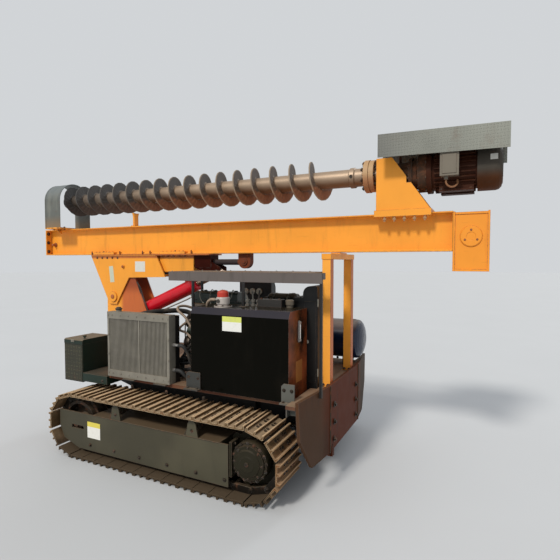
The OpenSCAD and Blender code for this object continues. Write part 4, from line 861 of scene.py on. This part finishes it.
class OBJECT_OT_tracks(bpy.types.Operator):
    """Build each track from shoes, links, pins and bolts in place of the plain loop"""
    bl_idname = "rig.tracks"
    bl_label = "Tracks"

    def shoe(self, pitch, half):
        """One triple-grouser shoe with its bolts, along X from its first pin"""
        shape = Shape()
        top = PLATE_OUT + GROUSER_H
        outline = [(0.01 * pitch, PLATE_IN + 2), (-0.03 * pitch, PLATE_IN + 10)]
        for middle in (0.055, 0.5, 0.945):
            outline += [((middle + ahead) * pitch, height) for ahead, height in (
                (-0.065, PLATE_OUT), (-0.045, top - 3), (-0.027, top),
                (0.027, top), (0.045, top - 3), (0.065, PLATE_OUT))]
        outline[2] = (-0.012 * pitch, PLATE_OUT)
        outline[-1] = (0.995 * pitch, PLATE_OUT - 2)
        outline += [(0.985 * pitch, PLATE_IN)]
        shape.plate(outline, "Y", -half, half, 0.0)
        for face in shape.bm.faces:
            if min(vert.co.z for vert in face.verts) > top - 5:
                face.material_index = 2
        shape.slot = 1
        for x in (0.28 * pitch, 0.72 * pitch):
            for y in (-LINK_Y - 16, -LINK_Y + 22, LINK_Y - 22, LINK_Y + 16):
                shape.bar((x, y, PLATE_OUT - 1), (x, y, PLATE_OUT + 9), 11, segments=6)
        return shape

    def link(self, pitch):
        """One pair of link plates with its pin and bushing"""
        shape = Shape()
        outline = [(-0.17 * pitch, -8), (-0.10 * pitch, -24), (0.16 * pitch, -28),
                   (0.84 * pitch, -28), (1.0 * pitch, -24), (1.12 * pitch, -12),
                   (1.12 * pitch, 10), (1.0 * pitch, 20), (0.92 * pitch, PLATE_IN),
                   (0.08 * pitch, PLATE_IN), (-0.05 * pitch, 20), (-0.17 * pitch, 8)]
        for side in SIDES:
            middle = side * LINK_Y
            shape.plate(outline, "Y", middle - 15, middle + 15, 1.5)
            shape.bar((0, middle + side * 14, 0), (0, middle + side * 18, 0), 21, segments=14)
        shape.bar((0, -LINK_Y, 0), (0, LINK_Y, 0), 23, segments=14)
        shape.bar((0, -LINK_Y - 21, 0), (0, LINK_Y + 21, 0), 13, segments=12)
        return shape

    def execute(self, context):
        count = context.scene.rig_sizes.shoe_count
        length = 2 * (AXLE_X[1] - AXLE_X[0] + pi * PITCH_R)
        pitch = length / count
        middle = sum(TRACK_Y) / 2
        shoe = self.shoe(pitch, TRACK_Y[1] - middle)
        link = self.link(pitch)
        for side, name in zip(SIDES, ("track_near", "track_far")):
            shoes = Shape()
            chain = Shape()
            for i in range(count):
                start = on_loop(i * pitch)
                ahead = (on_loop((i + 1) * pitch) - start).normalized()
                out = Vector((ahead.z, 0, -ahead.x))
                across = out.cross(ahead)
                place = Matrix((ahead, across, out)).transposed().to_4x4()
                place.translation = start + Y * side * middle
                shoes.placed(place, shoe)
                stagger = Matrix.Scale(1 + 0.03 * (i % 2), 4, Y)
                chain.placed(place @ stagger, link)
            shoes.done(name + "_shoes", "chassis", ["worn_shoes", "dark_bolt", "grouser_tips"],
                       sharp=30, replaces=[name])
            chain.done(name + "_chain", "chassis", ["chain_steel"])
        shoe.bm.free()
        link.bm.free()
        return {"FINISHED"}


# Undercarriage

class OBJECT_OT_undercarriage(bpy.types.Operator):
    """Bolts and welds on the track frames and drives, and a blank sticker"""
    bl_idname = "rig.undercarriage"
    bl_label = "Undercarriage"

    def execute(self, context):
        carriers = (-485, 312)
        bolts = Shape()
        beads = []
        for side in SIDES:
            face, out = side * FRAME_Y[1], Y * side
            bolts.bolts([(x, face, 135) for x in (-790, -506, -223, 67, 350, 610)], out, 18)
            bolts.bolts([(x, face - side * 2, 452) for x in carriers], out, 17)
            bolts.bolts([(670, side * y, z) for y in (650, 700, 850) for z in (188, 402)], X, 18)
            bolts.ring((AXLE_X[1], side * 875, AXLE_Z), out, 138, 16, 15, 0.1)
            bolts.ring((AXLE_X[1], side * 891, AXLE_Z), out, 113, 8, 13)
            bolts.turned((AXLE_X[1], side * 915, AXLE_Z), out,
                         [(0, 17), (7, 16), (9, 12), (9, 0)], 16)
            beads.append([(x, face + side, 405) for x in (-765, -300, 100, 563)])
            beads += [[(x - 74, face - side * 2, 400), (x - 40, face - side * 2, 470)]
                      for x in carriers]
        bolts.done("track_bolts", "chassis", ["dark_bolt"])
        sheet("frame_sticker", "chassis", "frame_label",
              (-822, -668), about(-FRAME_Y[1], 1), (200, 342))
        welds("frame_welds", "chassis", "weld_dark", beads)
        return {"FINISHED"}


# Slide frame and tower

class OBJECT_OT_slide_frame_trim(bpy.types.Operator):
    """Bolts, pins, dogs, welds, hoses and blank stickers on the slide frame"""
    bl_idname = "rig.slide_frame_trim"
    bl_label = "Slide frame trim"

    def execute(self, context):
        tray = span("slide_frame")[2][1] - 14
        plate = 112
        bolts = Shape()
        beads = []
        for side in SIDES:
            face, out = side * plate, Y * side
            bolts.slot = 0
            bolts.bolts([(-1560 + i * 76, face, 1795) for i in range(5)], out, 14)
            bolts.bolts([(-660 + i * 72, side * 90, tray) for i in range(5)], -Z)
            for x in (-1672, -1490, -1250, -929, -826, -496, -298):
                bolts.block(about(x, 8), sorted((side * 62, side * 90)), (1845, 1853), 1)
                bolts.bar((x, side * 84, 1818), (x, side * 84, 1868), 6, segments=8)
            bolts.slot = 1
            bolts.turned(PIVOT + out * 125, out, [(0, 24), (6, 23), (9, 18), (9, 0)], 20)
            bolts.turned((-1172, side * 126, tray - 116), out, [(0, 12), (8, 11), (8, 0)], 16)
            bolts.bolt((-24, side * 66, 1642), out, 24)
            beads.append([(x, face + side * 2, tray) for x in (-1640, -1200, -900, -722)])
            beads.append([(x, side * 76, tray - 2) for x in (-700, -296)])
        bolts.done("slide_frame_bolts", "slide_frame", ["rusty_iron", "pin_orange"])
        stickers = Shape()
        stickers.block((-1376, -1316), about(-plate, 1), (1530, 1705), 0,
                       Matrix.Rotation(radians(-6), 4, "Y").to_quaternion())
        stickers.slot = 1
        stickers.block((-1007, -870), about(-plate, 1), (1648, 1756), 0)
        stickers.done("slide_frame_stickers", "slide_frame", ["pale_label", "white_label"])
        welds("slide_frame_welds", "slide_frame", "weld_orange", beads)
        feed = [(-640, -20, 1703), (-650, -40, 1668), (-690, -52, 1640), (-800, -52, 1625),
                (-960, -52, 1620), (-1090, -60, 1660), (-1130, -66, 1740), (-1128, -66, 1800)]
        back = [(-310, 20, 1703), (-330, 44, 1668), (-420, 50, 1640), (-640, 50, 1632),
                (-960, 52, 1632), (-1090, 60, 1668), (-1160, 66, 1740), (-1158, 66, 1800)]
        lines("slide_hoses", "slide_frame", "hose_rubber", 0.010, [feed, back])
        return {"FINISHED"}


class OBJECT_OT_tower_trim(bpy.types.Operator):
    """Hoses, clamps, bolts and welds on the front tower"""
    bl_idname = "rig.tower_trim"
    bl_label = "Tower trim"

    def execute(self, context):
        y = -87
        fall = [(-1060, y, 1540), (-1015, y, 1480), (-975, y, 1380), (-905, y, 1225),
                (-840, y, 1085), (-750, y - 8, 900), (-690, y - 16, 790), (-640, y - 40, 752)]
        routes = [[Vector(place) + X * gap for place in fall] for gap in (26, 50)]
        lines("tower_hoses", "chassis", "hose_rubber", 0.006, routes)
        trim = Shape()
        for x, z in ((-880, 1170), (-762, 925)):
            trim.block((x - 22, x + 70), about(y, 12), about(z, 9), 2)
        trim.slot = 1
        heads = ((-1400, 775), (-1400, 1000), (-740, 775), (-1060, 775), (-1216, 1140))
        for side in SIDES:
            trim.bolts([(x, side * 93, z) for x, z in heads], Y * side)
        trim.done("tower_trim", "chassis", ["satin_black", "dark_bolt"])
        beads = [[(x, side * 95, 737) for x in (-1434, -1000, -649)] for side in SIDES]
        welds("tower_welds", "chassis", "weld_orange", beads, 0.005)
        return {"FINISHED"}


class OBJECT_OT_lift_trim(bpy.types.Operator):
    """Gland ring, fittings and pipes on the lift cylinder"""
    bl_idname = "rig.lift_trim"
    bl_label = "Lift cylinder trim"

    def execute(self, context):
        foot = Vector(joint("lift_swing")["pos_m"]) / MM
        along = Vector(joint("lift_extend")["axis"]).normalized()
        below = Y.cross(along).normalized()
        if below.z > 0:
            below = -below
        gland = Shape()
        gland.turned(foot + along * 944, along, [(0, 71), (4, 75), (26, 75), (30, 71)], 32)
        gland.turned(foot + along * 1008, along, [(-2, 60), (4, 60), (10, 50), (10, 34)], 32)
        gland.slot = 1
        pipes = []
        for at, side in ((150, 1), (900, -1)):
            start = foot + along * at + below * 66
            gland.bar(start, start + below * 20, 17, segments=6)
            gland.bar(start + below * 18, start + below * 30, 12, segments=12)
            start += below * 28
            pipes.append([start, start + below * 8 - along * 22 + Y * side * 14,
                          foot + along * (at * 0.5 + 20) + below * 96 + Y * side * 24,
                          foot + along * 66 + below * 84 + Y * side * 26])
        gland.done("lift_gland", "lift_barrel", ["red_enamel", "zinc"])
        lines("lift_pipes", "lift_barrel", "zinc", 0.007, pipes)
        return {"FINISHED"}


# Mast

class OBJECT_OT_mast_trim(bpy.types.Operator):
    """Bolts, a stud and welds along the mast"""
    bl_idname = "rig.mast_trim"
    bl_label = "Mast trim"

    def execute(self, context):
        low, high = BEAM_Z
        end = BEAM_X[0] + 15
        bolts = Shape()
        beads = []
        for side in SIDES:
            bolts.slot = 1
            bolts.ring((sum(HEAD_X) / 2, side * 80, 1938), Y * side, 48, 3, 9, pi / 2)
            bolts.turned((-2377, side * 4, 1956), Y * side,
                         [(0, 26), (10, 26), (10, 15), (46, 13), (50, 9), (50, 0)], 16)
            bolts.slot = 0
            for x in (GUIDE_X[0] + 40, GUIDE_X[1] - 40):
                bolts.bolt((x, side * 120, GUIDE_FOOT), Z)
                bolts.bolt((x, side * 120, high), -Z, 16)
            bolts.bolts([(end, side * 48, z) for z in (low + 45, low + 150, high - 45)], X, 22)
            beads.append([(HEAD_X[0], side * (BEAM_Y[1] + 1), z) for z in (low + 4, high - 12)])
            beads.append([(end, side * 6, z) for z in (low + 24, high - 24)])
            beads += [[(x, side * 40, high + 2), (x, 0, high + 2)] for x in (-1128, -1070)]
        bolts.done("mast_bolts", "mast", ["dark_bolt", "pin_orange"])
        welds("mast_welds", "mast", "weld_orange", beads)
        return {"FINISHED"}


# Head carriage and auger

class OBJECT_OT_carriage_trim(bpy.types.Operator):
    """Bolts, lifting eyes, fan grille, blank sticker and cable on the head carriage"""
    bl_idname = "rig.carriage_trim"
    bl_label = "Carriage trim"

    def execute(self, context):
        axis = Z * MOTOR_AXIS
        end = MOTOR_X[1]
        trim = Shape()
        # Columns: x, radius, count, width, first angle
        for x, *bolts in ((1913, 152, 8, 15, pi / 8), (1850, 132, 12, 14),
                          (1578, 74, 6, 14, pi / 6)):
            trim.ring(axis + X * x, -X, *bolts)
        for side in SIDES:
            trim.bolts([(x, side * 88, 2156) for x in (1620, 1680, 1740)], Z, 18)
            trim.bolts([(x, side * 118, MOTOR_AXIS - 153) for x in (2020, 2220)], Z, 16)
        trim.slot = 3
        for x in range(1602, 1920, 76):
            for y in (-112, 112):
                trim.bar((x, y, 2066), (x, y, 2110), 8, segments=8)
                trim.bar((x, y, 2078), (x, y, 2092), 14, segments=6)
        trim.slot = 1
        for x, z in ((1700, MOTOR_AXIS + 95), (2120, MOTOR_AXIS + 158)):
            trim.bar((x, 0, z - 6), (x, 0, z + 12), 13)
            turns = [tau * i / 12 for i in range(13)]
            eye = [(x, 22 * sin(a), z + 32 + 22 * cos(a)) for a in turns]
            for start, stop in zip(eye, eye[1:]):
                trim.bar(start, stop, 7, segments=8)
        trim.slot = 2
        for r in range(20, 120, 16):
            rows = [(-3, r - 3), (1, r - 3), (1, r + 3), (-3, r + 3)]
            trim.turned((end, 0, MOTOR_AXIS), X, rows)
        for i in range(8):
            way = Vector((0, cos(tau * i / 8), sin(tau * i / 8)))
            trim.bar(axis + X * end + way * 16, axis + X * end + way * 112, 2.5, segments=6)
        trim.done("carriage_trim", "carriage",
                  ["dark_bolt", "gear_iron", "motor_iron", "pale_bolt"])
        tilt = radians(18)
        at = axis + X * 2368 + Vector((0, -cos(tilt), sin(tilt))) * 161.5
        sheet("fan_cover_sticker", "carriage", "white_label", about(at.x, 24), about(at.y, 1.2),
              about(at.z, 22), Matrix.Rotation(-tilt, 4, "X").to_quaternion())
        loop = [(2058, -200, 2345), (2060, -200, 2318), (2078, -196, 2296), (2108, -186, 2292),
                (2130, -172, 2310), (2132, -150, 2345)]
        lines("motor_cable", "carriage", "rusty_cable", 0.007, [loop])
        return {"FINISHED"}


class OBJECT_OT_auger_trim(bpy.types.Operator):
    """Bolts of the coupling and cross pins in the auger's tube"""
    bl_idname = "rig.auger_trim"
    bl_label = "Auger trim"

    def execute(self, context):
        axis = Z * AUGER_AXIS
        front = span("auger_stem")[0][0]
        bolts = Shape()
        bolts.ring(axis + X * 1508, X, 98, 8, 18)
        bolts.ring(axis + X * 1416, -X, 108, 8, 20, pi / 8)
        for x, half, r in ((1318, 88, 14), (front + 60, 80, 12)):
            bolts.bar(axis + X * x - Y * half, axis + X * x + Y * half, r)
        bolts.done("auger_bolts", "auger", ["dark_bolt"])
        return {"FINISHED"}


# Tanks, cooler and engine

class OBJECT_OT_tank_trim(bpy.types.Operator):
    """Blank sticker, gauge glass, filter hose and fittings on the oil tank"""
    bl_idname = "rig.tank_trim"
    bl_label = "Oil tank trim"

    def execute(self, context):
        top = TANK_Z[1]
        x, y = TANK_X[0] + 228, TANK_Y[0] + 123
        trim = Shape()
        trim.ring((x, y, top + 10), Z, 60, 6, 13)
        trim.bolts([(TANK_X[0] + gap, TANK_Y[1] - 40, top + 60) for gap in (480, 560, 640)], Z, 14)
        trim.slot = 1
        trim.turned((x - 10, y - 50, top + 50), -Y, [(0, 15), (10, 15), (12, 9), (12, 0)], 18)
        trim.slot = 2
        trim.bar((x - 48, y, top + 56), (x - 76, y, top + 56), 11)
        trim.done("tank_trim", "chassis", ["dark_bolt", "black_knob", "zinc"])
        sheet("tank_sticker", "chassis", "tank_label",
              (512, 682), about(TANK_Y[0], 1), (1222, 1334))
        sheet("gauge_glass", "chassis", "gauge_glass", (1084, 1086), (-594, -580), (1168, 1292))
        hose = [(x - 74, y, top + 56), (x - 120, y, top + 52), (x - 165, y + 20, top + 10),
                (x - 170, y + 60, top - 60), (x - 150, y + 150, top - 130)]
        lines("filter_hose", "chassis", "old_hose", 0.013, [hose])
        return {"FINISHED"}


class OBJECT_OT_cooler_trim(bpy.types.Operator):
    """Cap, fittings, flat bars and hoses of the radiator, and the tank's hoses beside it"""
    bl_idname = "rig.cooler_trim"
    bl_label = "Cooler trim"

    def execute(self, context):
        near, low = RAD_Y[0], RAD_Z[0]
        front, rear = RAD_X
        middle, inlet, outlet = -720, 1060, 850
        trim = Shape()
        trim.bolts([(x, near + 2, z) for x in (front + 11, rear - 11)
                    for z in (low + 30, low + 200, low + 370, RAD_Z[1] - 48)], -Y, 12)
        trim.bolts([(x, near, z) for x in range(int(front) + 60, int(rear), 95)
                    for z in (low + 30, low + 545)], -Y, 10)
        trim.slot = 1
        trim.turned((front + 90, middle, low + 592), Z,
                    [(0, 30), (12, 30), (14, 22), (22, 20), (24, 12), (24, 0)], 20)
        trim.slot = 2
        for x in (front + 200, rear - 150):
            trim.block((x, x + 130), (near - 30, near + 3), (DECK_TOP - 8, DECK_TOP + 1), 1.5)
        trim.slot = 3
        for z in (inlet, outlet):
            trim.bar((rear, middle, z), (rear + 26, middle, z), 15, segments=6)
        trim.bar((rear + 20, middle, inlet), (rear + 60, middle, inlet), 12)
        trim.done("radiator_trim", "chassis",
                  ["radiator_grey", "satin_black", "bracket_grey", "valve_silver"])
        routes = [[(rear + 56, middle, inlet), (rear + 92, -716, 1058), (rear + 120, -690, 1010),
                   (rear + 124, -640, 900), (rear + 118, -560, 800)],
                  [(rear + 22, middle, outlet), (rear + 70, -716, 846), (rear + 110, -690, 800),
                   (rear + 150, -640, 760)]]
        lines("cooler_hoses", "chassis", "hose_rubber", 0.016, routes)
        side = TANK_X[0]
        dark = [[(side, -520 - 12 * i, 1080 - 60 * i), (side - 92, -525 - 10 * i, 1085 - 60 * i),
                 (10 - 20 * i, -535, 1010 - 50 * i), (-50 - 28 * i, -530, 900 - 10 * i),
                 (-60 - 30 * i, -520, DECK_TOP - 4)] for i in range(5)]
        lines("suction_hoses", "chassis", "hose_rubber", 0.014, dark)
        old = [[(-40, -382, 1330), (-92, -480, 1360), (-92, -555, 1344), (0, -562, 1270),
                (70, -560, 1180), (150, -556, 1128), (side, -556, 1120)],
               [(-50, -382, 1240), (-100, -470, 1190), (-67, -556, 1158), (0, -562, 1140),
                (70, -560, 1090), (140, -552, 1052), (side, -552, 1046)]]
        lines("return_hoses", "chassis", "old_hose", 0.011, old)
        return {"FINISHED"}


class OBJECT_OT_toolbox_trim(bpy.types.Operator):
    """Chequered end and step plates and a latch on the toolbox"""
    bl_idname = "rig.toolbox_trim"
    bl_label = "Toolbox trim"

    def execute(self, context):
        sheet("toolbox_end_plate", "chassis", "box_tread", (BOX_X[0] + 6, -1030),
              (BOX_Y[0] - 3, BOX_Y[0]), (BOX_Z[0] + 6, 978))
        sheet("step_plate", "chassis", "step_tread", (-1018, -726),
              (BOX_Y[0] + 6, BOX_Y[1] - 8), (DECK_TOP - 13, DECK_TOP - 9))
        lid = Shape()
        y = span("toolbox_lid")[1][0]
        lid.block((-1165, -1125), (y - 5, y + 1), (1002, 1026), 1.5)
        lid.bar((-1145, y - 9, 1014), (-1145, y - 4, 1014), 8)
        lid.done("lid_latch", "toolbox_lid", ["zinc"])
        return {"FINISHED"}


class OBJECT_OT_engine_trim(bpy.types.Operator):
    """Belt, injector lines, hoses, filler and bolts on the engine"""
    bl_idname = "rig.engine_trim"
    bl_label = "Engine trim"

    def execute(self, context):
        mid = -240
        crank, fan = 985, 1185
        # Columns: distance across from the middle, height
        loop = ((-74, crank), (-52, crank - 54), (0, crank - 76), (52, crank - 54), (74, crank),
                (66, fan), (46, fan + 46), (0, fan + 66), (-46, fan + 46), (-66, fan),
                (-74, crank))
        belt = [(-199, mid + across, z) for across, z in loop]
        lines("fan_belt", "chassis", "hose_rubber", 0.006, [belt])
        pipes = [[(x, mid - 30, 1478), (x + 4, mid - 62, 1500), (x + 10, mid - 104, 1440),
                  (x * 0.5 + 90, mid - 128, 1330), (x * 0.3 + 110, mid - 140, 1240)]
                 for x in (-15, 95, 205, 315)]
        lines("injector_pipes", "chassis", "zinc", 0.004, pipes)
        trim = Shape()
        trim.bolts([(-70 + i * 110, mid + side * 84, 1400) for i in range(5) for side in SIDES],
                   Z, 13)
        trim.bolts([(-60 + i * 92, mid - 140, z) for i in range(6) for z in (1020, 920)], -Y, 13)
        trim.slot = 1
        trim.block((80, 210), (mid - 168, mid - 138), (1170, 1260), 5)
        for x in (96, 129, 162, 195):
            trim.bar((x, mid - 150, 1258), (x, mid - 150, 1282), 8, segments=6)
        trim.turned((395, mid - 104, 1290), Z,
                    [(0, 22), (10, 22), (12, 30), (30, 30), (34, 22), (34, 0)], 18)
        trim.done("engine_trim", "chassis", ["dark_bolt", "engine_green"])
        hoses = [[(-150, mid + 20, 1210), (-200, mid + 10, 1260), (-260, mid - 60, 1290),
                  (-330, -420, 1296), (-400, -600, 1292), (-420, -660, 1282)],
                 [(440, mid + 60, 1330), (510, mid + 40, 1390), (570, mid, 1412), (614, mid, 1411)],
                 [(-60, mid - 120, 900), (-100, mid - 220, 860), (-130, -560, 840),
                  (-140, -640, 840)]]
        lines("engine_hoses", "chassis", "hose_rubber", 0.024, hoses)
        return {"FINISHED"}


class OBJECT_OT_cabin_trim(bpy.types.Operator):
    """Roof sheet and stands, and doors, hinges, screws and clamps on cabinet and filter"""
    bl_idname = "rig.cabin_trim"
    bl_label = "Cabinet and roof trim"

    def execute(self, context):
        low, high, near, far = -150, 1262, -600, -130
        under, top = 1665, 1669
        lip = under + 1
        roof = Shape()
        # Columns: x, y and z ranges, edge
        for x, y, z, edge in (
                ((low, 1150), (near, far), (under, top), 1),
                ((1149, high), (near, near + 70), (under, top), 1),
                ((low, high), (near, near + 3), (1590, lip), 1),
                ((low, high), (near + 2, near + 14), (1590, 1593), 0.5),
                ((low, low + 3), (near, far), (1620, lip), 1),
                ((1147, 1150), (near + 70, far), (1630, lip), 1),
                ((high - 3, high), (near, near + 70), (1620, lip), 1)):
            roof.block(x, y, z, edge)
        for x in (210, 650, 1090):
            roof.block((x, x + 30), (near + 3, far), (1635, lip), 1)
        roof.done("roof_sheet", "chassis", ["roof_grey"], replaces=["roof"])
        stands = Shape()
        for x, foot in ((90, DECK_TOP), (580, TANK_Z[1]), (1239, 745)):
            stands.block((x, x + 20), (near + 4, near + 24), (foot, under), 1.5)
            if x < 1200:
                stands.block((x - 18, x + 38), (near - 4, near + 44), (foot, foot + 6), 1)
        for x in (-140, 1120):
            stands.block((x, x + 20), (far - 20, far), (DECK_TOP, under), 1.5)
            stands.block((x - 12, x + 32), (far - 44, far + 12), (DECK_TOP, DECK_TOP + 6), 1)
        stands.done("roof_stands", "chassis", ["satin_black"],
                    replaces=["roof_posts"])
        trim = Shape()
        for y in ((-392, -284), (-276, -168)):
            trim.block((1150, 1154), y, (790, 1480), 1.5)
        trim.block((1040, 1138), (-404, -400), (800, 1440), 1.5)
        trim.slot = 1
        for z in (850, 1400):
            for y in (-398, -162):
                trim.bar((1153, y, z), (1153, y, z + 60), 6)
        for y in (-296, -264):
            trim.block((1154, 1168), about(y, 5), (1090, 1170), 2)
        trim.turned((1064, -404, 1120), -Y, [(0, 16), (6, 16), (10, 10), (10, 0)], 16)
        trim.bolts([(x, y, top) for x in range(-120, 1150, 158) for y in (-585, -145)], Z, 9)
        for x in (712, 844):
            trim.turned((x, -250, 1411), X, [(0, 75), (0, 78), (14, 78), (14, 75)])
            trim.bolt((x + 7, -330, 1430), -Y, 12)
        trim.done("cabin_trim", "chassis", ["satin_black", "zinc"])
        return {"FINISHED"}


class OBJECT_OT_far_trim(bpy.types.Operator):
    """Straps on the fuel tank, and gauges, knobs, valves and hoses on the console"""
    bl_idname = "rig.far_trim"
    bl_label = "Far side trim"

    def execute(self, context):
        gauges = [(x, 430, 1440) for x in (30, 110, 190)]
        levers = range(0, 281, 56)
        trim = Shape()
        for x in (690, 1120):
            trim.turned((x, 640, 985), X, [(0, 190), (0, 194), (40, 194), (40, 190)], 40)
        trim.slot = 1
        for at in gauges:
            trim.turned(at, -Y, [(0, 34), (14, 34), (18, 30), (18, 28)], 24)
        trim.slot = 2
        for at in gauges:
            trim.turned(at, -Y, [(0, 27), (16, 27), (16, 0)], 24)
        trim.slot = 3
        for x in levers:
            trim.turned((x, 572, 1394), Z, [(0, 10), (6, 17), (20, 19), (32, 14), (36, 0)], 16)
            trim.bar((x, 540, 1160), (x, 540, 1120), 12, segments=6)
        trim.done("far_trim", "chassis", ["satin_black", "zinc", "gauge_glass", "black_knob"])
        hoses = [[(x, 560, 1130), (x + 4, 566, 1060), (x - 8, 590, 960), (x + 6, 596, 860),
                  (x, 610, 752)] for x in levers]
        lines("valve_hoses", "chassis", "hose_rubber", 0.011, hoses)
        valves = Shape()
        for z, r in ((1310, 26), (1250, 22)):
            valves.bar((-52, 470, z), (-112, 470, z), r)
        valves.slot = 1
        valves.block((-110, -52), (445, 500), (1180, 1222), 4)
        valves.done("console_valves", "chassis", ["blue_valve", "shaded_orange"])
        return {"FINISHED"}


class OBJECT_OT_rear_trim(bpy.types.Operator):
    """Bolts and welds on the rear weight plate, the posts and the deck"""
    bl_idname = "rig.rear_trim"
    bl_label = "Rear trim"

    def execute(self, context):
        trim = Shape()
        beads = []
        for side in SIDES:
            trim.bolts([(x, side * y, 772) for x in (1175, 1218) for y in (236, 336)], Z, 18)
            trim.bolts([(PANEL_X[1], side * 310, z) for z in (340, 480, 620)], X, 26)
            trim.bolts([(1165, side * y, 1790) for y in (270, 300)], -X, 16)
            beads.append([(1262, side * 400, z) for z in (264, 788)])
            beads.append([(1158, side * y, 773) for y in (250, 320)])
        trim.bolts([(x, DECK_Y[0], 720) for x in (-640, -300, 60, 420)], -Y, 15)
        trim.bolts([(x, DECK_Y[1], 720) for x in range(-600, 1200, 300)], Y, 15)
        for x in (195, 285, 1040, 1100):
            trim.bolt((x, -795, 745), Z, 15)
            trim.bolt((x, -780, 830), -Y, 15)
        trim.done("rear_bolts", "chassis", ["dark_bolt"])
        welds("rear_welds", "chassis", "weld_dark", beads, 0.005)
        return {"FINISHED"}


# Stage

def camera_axes(turn, tilt):
    """Right, up and forward of a level camera turned left and tilted down"""
    right = Matrix.Rotation(turn, 3, "Z") @ X
    forward = Matrix.Rotation(-tilt, 3, right) @ (Matrix.Rotation(turn, 3, "Z") @ Y)
    return right, right.cross(forward), forward


class OBJECT_OT_stage(bpy.types.Operator):
    """Add the floor, the lights and the camera"""
    bl_idname = "rig.stage"
    bl_label = "Stage"

    def execute(self, context):
        sizes = context.scene.rig_stage
        right, up, forward = camera_axes(sizes.camera_turn, sizes.camera_tilt)
        camera = bpy.data.objects.new("camera", bpy.data.cameras.new("camera"))
        context.scene.collection.objects.link(camera)
        camera.data.lens = sizes.camera_lens
        turn = Matrix((right, up, -forward)).transposed().to_4x4()
        camera.matrix_world = Matrix.Translation(sizes.camera_place) @ turn
        context.scene.camera = camera
        disc = bmesh.new()
        bmesh.ops.create_circle(disc, cap_ends=True, segments=96, radius=sizes.floor_radius)
        mesh = bpy.data.meshes.new("floor")
        disc.to_mesh(mesh)
        disc.free()
        mesh.materials.append(finish("studio_floor"))
        ground = bpy.data.objects.new("floor", mesh)
        context.scene.collection.objects.link(ground)
        world = bpy.data.worlds.new("studio")
        world.use_nodes = True
        world.node_tree.nodes["Background"].inputs["Color"].default_value = (0.94, 0.97, 1.0, 1)
        world.node_tree.nodes["Background"].inputs["Strength"].default_value = 0.68
        context.scene.world = world
        context.scene.view_settings.view_transform = "Standard"
        # Rows of name, kind, direction it shines in, power and colour of each soft light
        lamps = (("key", "SUN", (0.12, 0.80, -0.76), 2.35, (1.0, 0.95, 0.87)),
                 ("rim", "SUN", (-0.30, -0.85, -0.60), 0.4, (0.92, 0.96, 1.0)))
        for name, kind, way, power, colour in lamps:
            lamp = bpy.data.lights.new(name, kind)
            lamp.energy = power
            lamp.angle = radians(9)
            lamp.color = colour
            light = bpy.data.objects.new(name, lamp)
            light.rotation_euler = Vector(way).to_track_quat("-Z", "Y").to_euler()
            context.scene.collection.objects.link(light)
        return {"FINISHED"}


class VIEW3D_PT_rig(bpy.types.Panel):
    """Lists the rig's steps and settings"""
    bl_label = "Pile driver rig"
    bl_idname = "VIEW3D_PT_rig"
    bl_space_type = "VIEW_3D"
    bl_region_type = "UI"
    bl_category = "Rig"

    def draw(self, context):
        for group in (context.scene.rig_colours, context.scene.rig_sizes, context.scene.rig_stage):
            column = self.layout.column()
            for key in group.__annotations__:
                column.prop(group, key)
        for operator in OPERATORS:
            self.layout.operator(operator.bl_idname)


OPERATORS = (OBJECT_OT_finishes, OBJECT_OT_tracks, OBJECT_OT_undercarriage,
             OBJECT_OT_slide_frame_trim, OBJECT_OT_tower_trim, OBJECT_OT_lift_trim,
             OBJECT_OT_mast_trim, OBJECT_OT_carriage_trim, OBJECT_OT_auger_trim,
             OBJECT_OT_tank_trim, OBJECT_OT_cooler_trim, OBJECT_OT_toolbox_trim,
             OBJECT_OT_engine_trim, OBJECT_OT_cabin_trim, OBJECT_OT_far_trim,
             OBJECT_OT_rear_trim, OBJECT_OT_stage)
GROUPS = {"rig_colours": RigColours, "rig_sizes": RigSizes, "rig_stage": StageSizes}


def register():
    for each in (*GROUPS.values(), *OPERATORS, VIEW3D_PT_rig):
        bpy.utils.register_class(each)
    for name, group in GROUPS.items():
        setattr(bpy.types.Scene, name, bpy.props.PointerProperty(type=group))


def unregister():
    for name in GROUPS:
        delattr(bpy.types.Scene, name)
    for each in reversed((*GROUPS.values(), *OPERATORS, VIEW3D_PT_rig)):
        bpy.utils.unregister_class(each)


def main():
    register()
    for operator in OPERATORS:
        getattr(bpy.ops.rig, operator.bl_idname.split(".")[1])()


if __name__ == "__main__":
    main()
